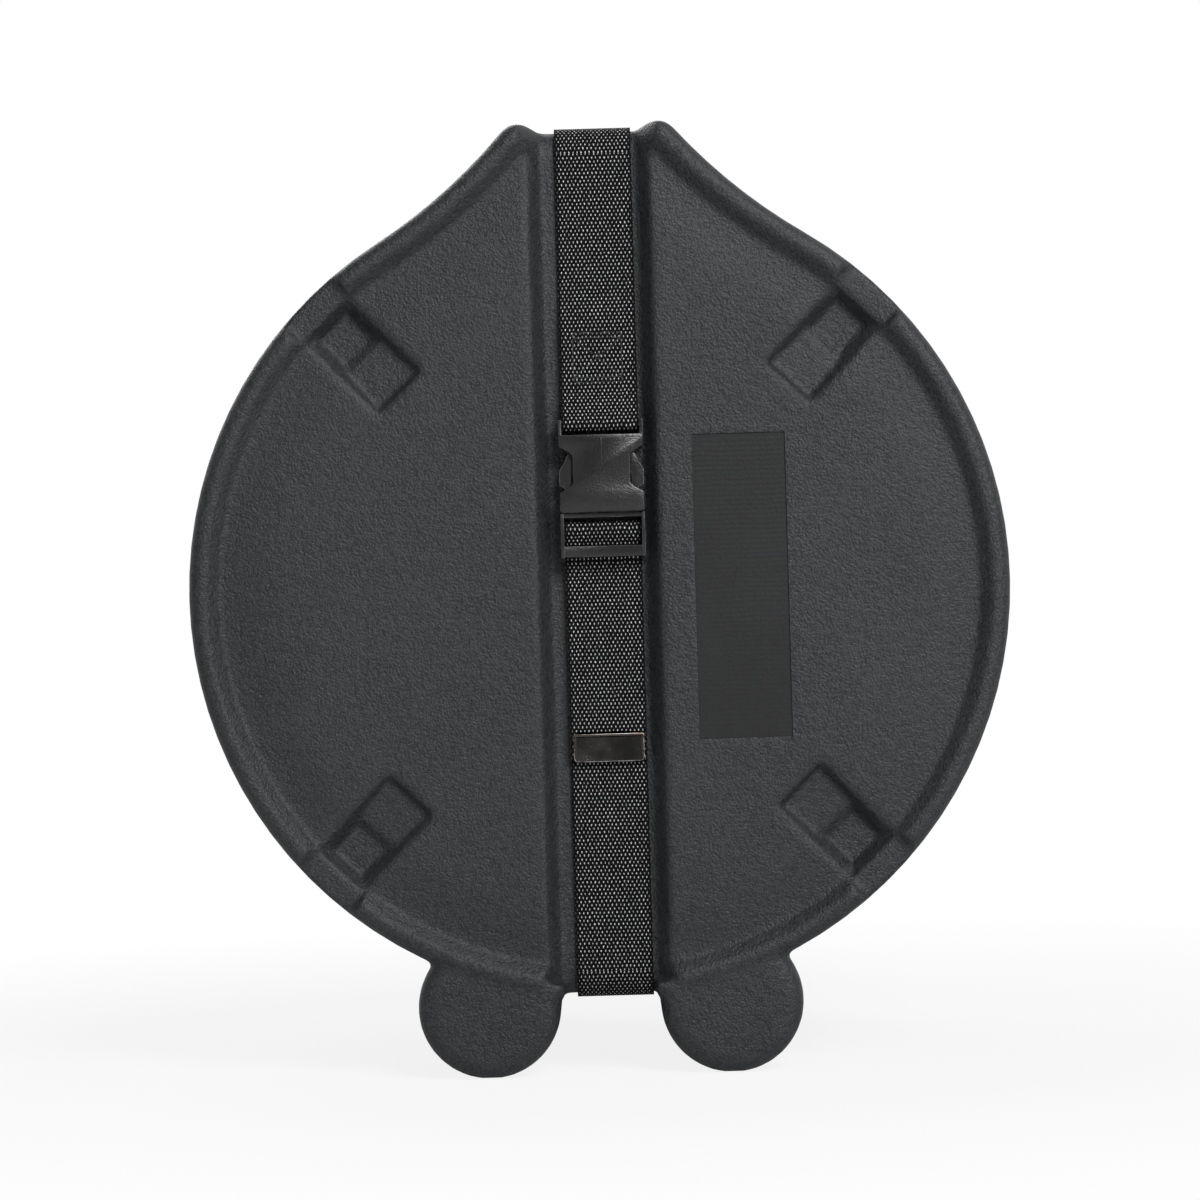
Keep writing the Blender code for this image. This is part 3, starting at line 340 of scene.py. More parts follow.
class Tree:
    """A node tree that nodes are added to and joined in."""

    def __init__(self, tree):
        self.tree = tree
        tree.nodes.clear()
        self.row = 0

    def put(self, value, socket):
        """Links a node's output to a socket, or writes a plain value in it."""
        if isinstance(value, bpy.types.NodeSocket):
            self.tree.links.new(value, socket)
        else:
            socket.default_value = value

    def add(self, kind, inputs=(), **settings):
        made = self.tree.nodes.new(kind)
        made.location = (self.row * 40, -(self.row % 7) * 160)
        self.row += 1
        for key, value in settings.items():
            setattr(made, key, value)
        for key, value in dict(inputs).items():
            self.put(value, made.inputs[key])
        return made

    def maths(self, operation, *values, clamp=False):
        inputs = dict(enumerate(values))
        made = self.add("ShaderNodeMath", inputs, operation=operation, use_clamp=clamp)
        return made.outputs[0]

    def times(self, first, second):
        return self.maths("MULTIPLY", first, second)

    def vector(self, operation, *values):
        inputs = dict(enumerate(values))
        return self.add("ShaderNodeVectorMath", inputs, operation=operation).outputs

    def parts(self, vector):
        return self.add("ShaderNodeSeparateXYZ", {"Vector": vector}).outputs

    def place(self):
        """The point of the surface in the object's own coordinates."""
        return self.add("ShaderNodeTexCoord").outputs["Object"]

    def noise(self, vector, scale, detail=2.0, roughness=0.5):
        inputs = {"Vector": vector, "Scale": scale, "Detail": detail, "Roughness": roughness}
        return self.add("ShaderNodeTexNoise", inputs).outputs["Fac"]

    def spread(self, value, low, high, to_low=0.0, to_high=1.0):
        """The value from low to high as a share from to_low to to_high."""
        inputs = {
            "Value": value,
            "From Min": low,
            "From Max": high,
            "To Min": to_low,
            "To Max": to_high,
        }
        return self.add("ShaderNodeMapRange", inputs, clamp=True).outputs["Result"]

    def mix(self, share, first, second):
        """Two colours blended by a share; a plain colour has three values."""
        first, second = (
            value if isinstance(value, bpy.types.NodeSocket) else (*value, 1.0)
            for value in (first, second)
        )
        inputs = {0: share, 6: first, 7: second}
        return self.add("ShaderNodeMix", inputs, data_type="RGBA").outputs[2]

    def over(self, base, mask, share, tint):
        """The base colour with a tint over it where the mask is, as strong as the share."""
        return self.mix(self.times(mask, share), base, tint)

    def group(self, name, vector, **inputs):
        node_tree = bpy.data.node_groups[name]
        inputs["Vector"] = vector
        return self.add("ShaderNodeGroup", inputs, node_tree=node_tree).outputs

    def bump(self, height, strength, distance, normal=None):
        inputs = {"Height": height, "Strength": strength, "Distance": distance}
        if normal is not None:
            inputs["Normal"] = normal
        return self.add("ShaderNodeBump", inputs).outputs["Normal"]

    def feed(self, **inputs):
        """Feeds the Principled shader, or the group's output."""
        for key, value in inputs.items():
            self.put(value, self.shader.inputs[key.replace("_", " ")])


def effect(name, inputs, outputs):
    """A shader node group with named sockets, and the tree inside it."""
    made = bpy.data.node_groups.new(name, "ShaderNodeTree")
    socket = made.interface.new_socket
    socket("Vector", in_out="INPUT", socket_type="NodeSocketVector")
    for label, default in inputs.items():
        kind = "NodeSocketVector" if default is None else "NodeSocketFloat"
        added = socket(label, in_out="INPUT", socket_type=kind)
        if default is not None:
            added.default_value = default
    for label in outputs:
        socket(label, in_out="OUTPUT", socket_type="NodeSocketFloat")
    inside = Tree(made)
    given = inside.add("NodeGroupInput").outputs
    inside.shader = inside.add("NodeGroupOutput")
    return inside, given


def grain_effect():
    """Pebbled mould grain: rounded cells of two sizes, pits between them and bright points."""
    inside, given = effect(
        "Mould Grain", {"Cells": 1000.0, "Specks": 0.5}, ("Height", "Pits", "Specks")
    )
    vector, cells = given["Vector"], given["Cells"]
    domes = []
    for share in (1.0, 2.3):
        scale = inside.times(cells, share)
        inputs = {"Vector": vector, "Scale": scale, "Randomness": 1.0}
        dome = inside.add("ShaderNodeTexVoronoi", inputs, feature="SMOOTH_F1")
        domes.append(inside.maths("SUBTRACT", 1.0, dome.outputs["Distance"]))
    broad = inside.noise(vector, inside.times(cells, 0.37))
    height = inside.maths("ADD", domes[0], inside.times(domes[1], 0.45))
    height = inside.maths("ADD", height, inside.times(broad, 1.1))
    inputs = {"Vector": vector, "Scale": inside.times(cells, 1.7)}
    grid = inside.add("ShaderNodeTexVoronoi", inputs).outputs
    points = inside.add("ShaderNodeTexWhiteNoise", {"Vector": grid["Color"]}, noise_dimensions="3D")
    limit = inside.maths("SUBTRACT", 1.0, inside.times(given["Specks"], 0.3))
    chosen = inside.spread(points.outputs["Value"], limit, 1.0)
    core = inside.spread(grid["Distance"], 0.5, 0.1)
    pits = inside.spread(height, 1.55, 1.15)
    inside.feed(Height=height, Pits=pits, Specks=inside.times(chosen, core))


def plate_effect():
    """A rectangle on the lid's face, with soft edges: inside it is 1."""
    inside, given = effect("Bare Plate", {"Middle": None, "Half": None}, ("Inside",))
    gap = inside.vector("SUBTRACT", given["Vector"], given["Middle"])[0]
    gap = inside.vector("ABSOLUTE", gap)[0]
    gap = inside.parts(inside.vector("SUBTRACT", given["Half"], gap)[0])
    least = inside.maths("MINIMUM", inside.maths("MINIMUM", gap["X"], gap["Y"]), gap["Z"])
    inside.feed(Inside=inside.spread(least, 0.0, 0.3 * MM))


def wear_effect():
    """Wear along edges: where the surface stands out, broken up by noise."""
    inside, given = effect("Edge Wear", {"Amount": 0.5, "Breaks": 200.0}, ("Wear",))
    point = inside.add("ShaderNodeNewGeometry").outputs["Pointiness"]
    edge = inside.spread(point, 0.5, 0.56)
    broken = inside.noise(given["Vector"], given["Breaks"], 3.0, 0.6)
    worn = inside.times(edge, inside.spread(broken, 0.42, 0.66))
    inside.feed(Wear=inside.maths("MULTIPLY", worn, given["Amount"], clamp=True))


def dust_effect():
    """Handling marks: soft cloudy dust and thin scratches in two directions."""
    inside, given = effect("Handling Marks", {"Size": 12.0}, ("Dust", "Scratches"))
    cloud = inside.noise(given["Vector"], given["Size"], 5.0, 0.62)
    lines = []
    for turn, stretch in ((0.5, (1.0, 1.0, 22.0)), (-0.9, (26.0, 1.0, 1.0))):
        inputs = {"Vector": given["Vector"], "Rotation": (0.0, turn, 0.0), "Scale": stretch}
        turned = inside.add("ShaderNodeMapping", inputs).outputs[0]
        thin = inside.noise(turned, inside.times(given["Size"], 5.0), 1.0)
        lines.append(inside.spread(thin, 0.74, 0.78))
    inside.feed(Dust=inside.spread(cloud, 0.42, 0.72), Scratches=inside.maths("MAXIMUM", *lines))


def weave_effect():
    """Woven rows on a UV map in metres, each second row shifted by half a crossing."""
    outputs = ("Height", "Crossing", "Thread")
    inside, given = effect("Woven Rows", {"Row": 0.0019, "Column": 0.00205}, outputs)
    vector = given["Vector"]
    parts = inside.parts(vector)
    drift = inside.times(inside.maths("SUBTRACT", inside.noise(vector, 260.0), 0.5), 0.55)
    waves = []
    for axis, pitch, turns in (("X", "Row", 1), ("Y", "Column", 2)):
        along = inside.maths("ADD", inside.maths("DIVIDE", parts[axis], given[pitch]), drift)
        waves.append(inside.maths("COSINE", inside.times(along, turns * math.pi)))
    crossing = inside.times(*waves)
    ridge = inside.times(waves[0], waves[0])
    height = inside.maths("ADD", inside.times(crossing, 0.6), inside.times(ridge, 0.4))
    # The crossing mask is what the webbing colours as its painted highlights
    spot = inside.maths("POWER", inside.spread(crossing, 0.42, 0.9), 1.3)
    light = inside.spread(inside.noise(vector, 900.0), 0.3, 0.6, 0.3, 1.0)
    thread = inside.noise(vector, 5200.0)
    inside.feed(Height=height, Crossing=inside.times(spot, light), Thread=thread)


# Materials


def material(name):
    """The tree of a new material, with its Principled shader."""
    made = bpy.data.materials.new(name)
    made.use_nodes = True
    tree = Tree(made.node_tree)
    tree.shader = tree.add("ShaderNodeBsdfPrincipled")
    tree.output = tree.add("ShaderNodeOutputMaterial", {"Surface": tree.shader.outputs[0]})
    tree.shader.location, tree.output.location = (600, 0), (900, 0)
    return tree


def scaled(tint, share):
    return [value * share for value in tint]


def shell_plastic(colours):
    tree = material("Moulded Polyethylene")
    place = tree.place()
    grain = tree.group("Mould Grain", place, Cells=900.0, Specks=0.6)
    marks = tree.group("Handling Marks", place, Size=11.0)
    wear = tree.group("Edge Wear", place, Amount=0.3, Breaks=260.0)
    low, high = Vector(PLATE[0]), Vector(PLATE[1])
    middle, half = (low + high) / 2, (high - low) / 2
    middle = (middle.x, PLATE_Y - 0.2 * MM, middle.y)
    half = (half.x, 0.8 * MM, half.y)
    plate = tree.group("Bare Plate", place, Middle=middle, Half=half)["Inside"]
    grained = tree.spread(plate, 0.0, 1.0, 1.0, 0.16)
    # Painted shade: the grain's pits darken the shell's colour
    base = tree.mix(grain["Pits"], colours.shell, colours.shell_pit_shade)
    base = tree.over(base, plate, 0.85, colours.plate)
    # Painted glints: scattered bright points on the grain, fewer on the bare plate
    base = tree.over(base, grain["Specks"], grained, colours.shell_glint)
    base = tree.over(base, marks["Dust"], 0.08, (0.075, 0.08, 0.085))
    base = tree.over(base, marks["Scratches"], 0.05, (0.12, 0.12, 0.12))
    base = tree.mix(wear["Wear"], base, (0.07, 0.074, 0.078))
    rough = tree.spread(plate, 0.0, 1.0, 0.55, 0.42)
    rough = tree.maths("SUBTRACT", rough, tree.times(grain["Specks"], 0.15))
    bands = {"Vector": place, "Scale": 130.0, "Distortion": 2.5, "Detail Scale": 0.6}
    stripes = tree.add("ShaderNodeTexWave", bands, bands_direction="Z").outputs["Fac"]
    normal = tree.bump(tree.noise(place, 60.0, 3.0), 0.12, 0.6 * MM)
    normal = tree.bump(tree.times(stripes, plate), 0.3, 0.1 * MM, normal)
    normal = tree.bump(tree.times(grain["Height"], grained), 1.0, 0.42 * MM, normal)
    tree.feed(Base_Color=base, Roughness=rough, Normal=normal, Specular_IOR_Level=0.5)


def foam_sheet(colours):
    tree = material("Closed-Cell Foam")
    place = tree.place()
    grain = tree.group("Mould Grain", place, Cells=900.0, Specks=0.1)
    marks = tree.group("Handling Marks", place, Size=9.0)
    # Painted shade: the foam is coloured half as light in the pits of its grain
    base = tree.mix(grain["Pits"], colours.foam, scaled(colours.foam, 0.5))
    base = tree.over(base, marks["Dust"], 0.18, (0.15, 0.15, 0.155))
    normal = tree.bump(grain["Height"], 0.7, 0.5 * MM)
    tree.feed(Base_Color=base, Roughness=0.92, Normal=normal, Specular_IOR_Level=0.2)


def webbing_nylon(colours):
    sizes = bpy.context.scene.tom_case_sizes
    tree = material("Nylon Webbing")
    place = tree.add("ShaderNodeUVMap", uv_map="Weave").outputs["UV"]
    weave = tree.group("Woven Rows", place, Row=sizes.weave_row, Column=sizes.weave_column)
    half = sizes.webbing_width / 2
    middle = tree.maths("ABSOLUTE", tree.maths("SUBTRACT", tree.parts(place)["Y"], half))
    inner = tree.spread(middle, half - 1.6 * MM, half - 0.9 * MM, 1.0, 0.12)
    # Painted highlights: the weave's crossings are coloured light, and less so along the selvedges
    light = tree.times(weave["Crossing"], inner)
    light = tree.times(light, tree.spread(weave["Thread"], 0.3, 0.7, 0.6, 1.0))
    base = tree.mix(light, colours.thread, colours.crossing_highlight)
    height = tree.maths("ADD", weave["Height"], tree.times(weave["Thread"], 0.12))
    normal = tree.bump(height, 0.8, 0.6 * MM)
    rough = tree.spread(light, 0.0, 1.0, 0.85, 0.42)
    tree.feed(Base_Color=base, Roughness=rough, Normal=normal, Specular_IOR_Level=0.15)


def thread_nylon(colours):
    tree = material("Sewing Thread")
    twist = tree.noise(tree.place(), 2600.0)
    share = tree.spread(twist, 0.4, 0.62)
    base = tree.mix(share, (0.006, 0.006, 0.0065), (0.07, 0.072, 0.075))
    normal = tree.bump(twist, 0.6, 0.2 * MM)
    tree.feed(Base_Color=base, Roughness=0.6, Normal=normal, Specular_IOR_Level=0.3)


def buckle_acetal(colours):
    tree = material("Buckle Acetal")
    place = tree.place()
    grain = tree.group("Mould Grain", place, Cells=1300.0, Specks=0.8)
    marks = tree.group("Handling Marks", place, Size=34.0)
    base = tree.over(colours.buckle, marks["Dust"], 0.5, scaled(colours.buckle, 2.0))
    # Painted glints: scattered bright points on the acetal's grain
    base = tree.over(base, grain["Specks"], 0.6, (0.075, 0.077, 0.08))
    base = tree.over(base, marks["Scratches"], 0.2, (0.08, 0.08, 0.08))
    normal = tree.bump(grain["Height"], 0.3, 0.25 * MM)
    rough = tree.spread(marks["Dust"], 0.0, 1.0, 0.28, 0.36)
    tree.feed(Base_Color=base, Roughness=rough, Normal=normal, Specular_IOR_Level=0.5)


def buckle_edges(colours):
    """Acetal along the buckle's edges, with a painted highlight on them that comes and goes in
    patches.
    """
    tree = material("Rubbed Acetal Edges")
    place = tree.place()
    highlight_patches = tree.spread(tree.noise(place, 120.0, 3.0, 0.6), 0.36, 0.62)
    base = tree.mix(highlight_patches, colours.buckle, colours.buckle_edge)
    normal = tree.bump(tree.noise(place, 1800.0), 0.15, 0.1 * MM)
    tree.feed(Base_Color=base, Roughness=0.24, Normal=normal, Specular_IOR_Level=0.6)


def tip_nickel(colours):
    tree = material("Dark Nickel")
    place = tree.place()
    grain = tree.group("Mould Grain", place, Cells=1100.0, Specks=0.25)
    marks = tree.group("Handling Marks", place, Size=60.0)
    dusty = tree.spread(marks["Dust"], 0.1, 0.6)
    base = tree.over(colours.nickel, grain["Specks"], dusty, (0.8, 0.79, 0.76))
    base = tree.over(base, marks["Scratches"], 0.4, (0.3, 0.29, 0.27))
    normal = tree.bump(grain["Height"], 0.08, 0.2 * MM)
    rough = tree.spread(marks["Dust"], 0.0, 1.0, 0.2, 0.34)
    tree.feed(Base_Color=base, Metallic=1.0, Roughness=rough, Normal=normal)


def tip_edges(colours):
    """The tip's folded edges, where the dark finish has worn through to bright metal."""
    tree = material("Worn Nickel Edges")
    place = tree.place()
    worn = tree.spread(tree.noise(place, 210.0, 3.0, 0.6), 0.34, 0.5)
    warm = tree.spread(tree.noise(place, 90.0, 1.0), 0.44, 0.56)
    bright = tree.mix(warm, (0.72, 0.72, 0.7), colours.brass)
    base = tree.mix(worn, colours.nickel, bright)
    rough = tree.spread(worn, 0.0, 1.0, 0.22, 0.32)
    normal = tree.bump(tree.noise(place, 1500.0), 0.12, 0.1 * MM)
    tree.feed(Base_Color=base, Metallic=1.0, Roughness=rough, Normal=normal)


def rivet_steel(colours):
    tree = material("Zinc Plated Steel")
    place = tree.place()
    dust = tree.group("Handling Marks", place, Size=80.0)["Dust"]
    base = tree.mix(dust, colours.steel, scaled(colours.steel, 0.6))
    rough = tree.spread(dust, 0.0, 1.0, 0.28, 0.5)
    normal = tree.bump(tree.noise(place, 900.0, 3.0), 0.1, 0.2 * MM)
    tree.feed(Base_Color=base, Metallic=1.0, Roughness=rough, Normal=normal)


def grip_plastic(colours):
    tree = material("Soft Grip Plastic")
    place = tree.place()
    grain = tree.group("Mould Grain", place, Cells=1400.0, Specks=0.2)
    marks = tree.group("Handling Marks", place, Size=25.0)
    wear = tree.group("Edge Wear", place, Amount=0.5, Breaks=300.0)
    base = tree.over(colours.rubber, marks["Dust"], 0.5, scaled(colours.rubber, 2.4))
    base = tree.mix(wear["Wear"], base, (0.07, 0.07, 0.072))
    normal = tree.bump(grain["Height"], 0.3, 0.3 * MM)
    tree.feed(Base_Color=base, Roughness=0.62, Normal=normal, Specular_IOR_Level=0.35)


# Moulded shells


def rim_inset(point):
    """How far a point of either face lies in from the body's outline."""
    across, up = abs(point.x), point.z - CENTRE_Z
    if math.atan2(up, across) < SHOULDER_START:
        return BODY_RADIUS - math.hypot(across, up)
    shoulder = math.hypot(across - SHOULDER.x, up - SHOULDER.y) - SHOULDER_RADIUS
    return min(shoulder, PEAK_HEIGHT - up)


def held(share):
    return min(max(share, 0.0), 1.0)


def eased(share):
    share = held(share)
    return share * share * (3 - 2 * share)


def bead_shift(inset, depth, crease):
    """How much deeper a point of the face goes, for a bead with a steep side over a crease."""
    if inset < BEAD_CREST:
        return 0.0
    if inset > BEAD_WIDTH:
        before = BEAD_RISE
        after = BEAD_RISE + crease * (1 - eased((inset - BEAD_WIDTH) / CREASE_FADE))
    else:
        turn = math.pi * (BEAD_WIDTH - inset) / (BEAD_WIDTH - BEAD_CREST)
        before = BEAD_RISE * (1 + math.cos(turn)) / 2
        climb = (inset - SIDE_START) / (BEAD_WIDTH - SIDE_START)
        if climb > 0:
            after = SIDE_DROP + (BEAD_RISE + crease - SIDE_DROP) * climb
        else:
            after = SIDE_DROP * eased((inset - BEAD_CREST) / (SIDE_START - BEAD_CREST))
    return (after - before) * held(1 - (depth - before) / WALL_FADE)


def moulded_skin(node, face, rounding):
    """One half's shell with its corners rounded as rotational moulding leaves them."""
    sizes = bpy.context.scene.tom_case_sizes
    obj = copy_of(node, node.replace("_shell", "_moulding"))
    modifier(obj, "REMESH", mode="VOXEL", voxel_size=sizes.mould_grain, adaptivity=0.0)
    group = obj.vertex_groups.new(name="rounding")
    way = 1 if face < 0 else -1
    points = [(vertex.co.copy(), vertex.normal.y * way) for vertex in obj.data.vertices]
    for index, (point, outward) in enumerate(points):
        depth = (point.y - face) * way
        share = rounding(point)
        if outward < -0.08 and depth < FACE_REACH:
            inset = rim_inset(point)
            obj.data.vertices[index].co.y += way * bead_shift(inset, depth, sizes.bead_crease)
            if 10 * MM < inset < 17 * MM and depth < WALL_FADE:
                share = min(share, 0.25)
        group.add([index], share, "REPLACE")
    modifier(
        obj, "SMOOTH", factor=0.5, iterations=sizes.mould_rounding, vertex_group="rounding"
    )
    obj.vertex_groups.clear()
    triangles = sum(len(polygon.vertices) - 2 for polygon in obj.data.polygons)
    if triangles > MOST_TRIANGLES:
        modifier(obj, "DECIMATE", ratio=MOST_TRIANGLES / triangles)
    return obj


def in_pocket(point):
    """Whether a point lies in one of the lid's four stacking pockets, seen from the front."""
    radius = math.hypot(point.x, point.z - CENTRE_Z)
    if point.y > PANEL_Y + POCKET_REACH or not POCKET_NEAR < radius < POCKET_FAR:
        return False
    angle = math.atan2(point.z - CENTRE_Z, point.x)
    turns = [angle - math.radians(pocket) for pocket in POCKETS]
    return any(
        abs(math.sin(turn)) * radius < POCKET_HALF and math.cos(turn) > 0 for turn in turns
    )


def on_lid(point):
    """How much a point of the lid is rounded: its cut edge and pocket floors stay crisp."""
    if point.y > LID[1].y - CUT_EDGE:
        return 0.0
    if not in_pocket(point):
        return 0.85
    return 1.0 if point.y - PANEL_Y < POCKET_LIP else 0.22


def on_base(point):
    """How much a point of the base is rounded: the neck and the parting step stay crisp."""
    return 0.0 if point.y < NECK_END else 0.85


class TOMCASE_OT_shells(bpy.types.Operator):
    """Models the lid's and the base's moulded shells over the frame's solids"""

    bl_idname = "tom_case.shells"
    bl_label = "Moulded Shells"

    def execute(self, context):
        lid = moulded_skin("lid_shell", PANEL_Y - BEAD_RISE, on_lid)
        low, high = PLATE
        low = (low[0], PANEL_Y - 6 * MM, low[1])
        tool = block("plate", low, (high[0], PLATE_Y, high[1]))
        modifier(lid, "BOOLEAN", operation="DIFFERENCE", object=tool, solver="EXACT")
        bpy.data.objects.remove(tool)
        base = moulded_skin("base_shell", BASE_FACE, on_base)
        for shell, body in ((lid, "lid"), (base, "base")):
            smooth(shell, 50)
            dress(shell, "Moulded Polyethylene", body, [f"{body}_shell"])
        return {"FINISHED"}


# Foam lining


def foam_ring(node, name, body):
    """A ring of foam spun from its cross-section, with soft cut edges."""
    sizes = bpy.context.scene.tom_case_sizes
    low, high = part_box(node)
    centre_z = (low.z + high.z) / 2
    outer = (high.x - low.x) / 2
    middle = Vector((outer - FOAM_THICK / 2, (low.y + high.y) / 2, centre_z))
    obj = settle(fresh(bpy.ops.mesh.primitive_plane_add, size=1, location=middle), name)
    edit(obj)
    bpy.ops.transform.resize(value=(FOAM_THICK, high.y - low.y, 1), center_override=middle)
    bpy.ops.mesh.select_mode(type="VERT")
    bpy.ops.mesh.bevel(offset=sizes.foam_edge, segments=3, affect="VERTICES")
    bpy.ops.mesh.select_all(action="SELECT")
    bpy.ops.mesh.delete(type="ONLY_FACE")
    bpy.ops.mesh.select_all(action="SELECT")
    bpy.ops.mesh.spin(steps=160, angle=2 * math.pi, center=(0, 0, centre_z), axis=(0, 1, 0))
    bpy.ops.mesh.select_all(action="SELECT")
    bpy.ops.mesh.remove_doubles(threshold=0.02 * MM)
    bpy.ops.mesh.normals_make_consistent(inside=False)
    leave_edit()
    smooth(obj, 50)
    dress(obj, "Closed-Cell Foam", body, [node])


def foam_disc(node, name, body):
    """A round foam pad with soft cut edges."""
    sizes = bpy.context.scene.tom_case_sizes
    low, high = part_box(node)
    obj = rod(name, (high.x - low.x) / 2, high.y - low.y, (low + high) / 2, "Y", 160)
    edit(obj, lambda a, b: abs(a.y - b.y) < 0.001 * MM, "edges")
    bpy.ops.mesh.bevel(offset=sizes.foam_edge, segments=3, affect="EDGES")
    leave_edit()
    edit(obj, lambda middle, normal: abs(normal.y) > 0.999)
    for ring in range(2):
        bpy.ops.mesh.inset(thickness=60 * MM)
    leave_edit()
    smooth(obj, 40)
    dress(obj, "Closed-Cell Foam", body, [node])


class TOMCASE_OT_foam(bpy.types.Operator):
    """Models the foam rings and pads that line both halves"""

    bl_idname = "tom_case.foam"
    bl_label = "Foam Lining"

    def execute(self, context):
        for half in ("lid", "base"):
            foam_ring(f"{half}_foam_ring", f"{half}_lining_ring", half)
            foam_disc(f"{half}_foam_pad", f"{half}_lining_pad", half)
        return {"FINISHED"}


# Webbing


def bend(centre, radius, start, end, steps=12):
    """Points of a bend in the strap's (y, z) plane, by angles in degrees."""
    found = []
    for i in range(steps + 1):
        angle = math.radians(start + (end - start) * i / steps)
        y, z = centre[0] + radius * math.cos(angle), centre[1] + radius * math.sin(angle)
        found.append((y, z))
    return found


def softened(points, radius=5 * MM, steps=4):
    """The path with its corners turned into short bends."""
    found = [Vector(points[0])]
    for corner in zip(points, points[1:], points[2:]):
        before, here, after = (Vector(point) for point in corner)
        reach = min(radius, (here - before).length / 2.2, (after - here).length / 2.2)
        start = here + (before - here).normalized() * reach
        end = here + (after - here).normalized() * reach
        for i in range(steps + 1):
            t = i / steps
            found.append(start * (1 - t) ** 2 + here * 2 * t * (1 - t) + end * t**2)
    return [tuple(point) for point in found + [Vector(points[-1])]]


def webbing(name, path, start=0.0, step=3 * MM):
    """Flat webbing bent along a path of (y, z) points, with its weave's UV map in metres."""
    width = bpy.context.scene.tom_case_sizes.webbing_width
    length = sum((Vector(b) - Vector(a)).length for a, b in zip(path, path[1:]))
    strip = fresh(
        bpy.ops.mesh.primitive_grid_add,
        x_subdivisions=max(int(length / step), 4),
        y_subdivisions=12,
        size=1,
        calc_uvs=True,
    )
    edit(strip)
    bpy.ops.transform.resize(value=(length, width, 1), center_override=(0, 0, 0))
    bpy.ops.transform.translate(value=(length / 2, 0, 0))
    bpy.ops.transform.rotate(value=-math.pi / 2, orient_axis="X", center_override=(0, 0, 0))
    leave_edit()
    layer = strip.data.uv_layers.active
    layer.name = "Weave"
    for corner in layer.data:
        corner.uv = (start + corner.uv[0] * length, corner.uv[1] * width)
    guide = fresh(bpy.ops.curve.primitive_nurbs_path_add)
    guide.data.dimensions = "2D"
    guide.data.splines.clear()
    line = guide.data.splines.new("POLY")
    line.points.add(len(path) - 1)
    for point, (y, z) in zip(line.points, path):
        point.co = (y, z, 0, 1)
    modifier(strip, "CURVE", object=guide, deform_axis="POS_X")
    bpy.data.objects.remove(guide)
    modifier(strip, "SOLIDIFY", thickness=THICK, offset=0.0, use_even_offset=True)
    strip.rotation_euler = (math.pi / 2, 0, math.pi / 2)
    strip.location = (STRAP_X, 0, 0)
    settle(strip, name)
    smooth(strip, 50)
    return strip


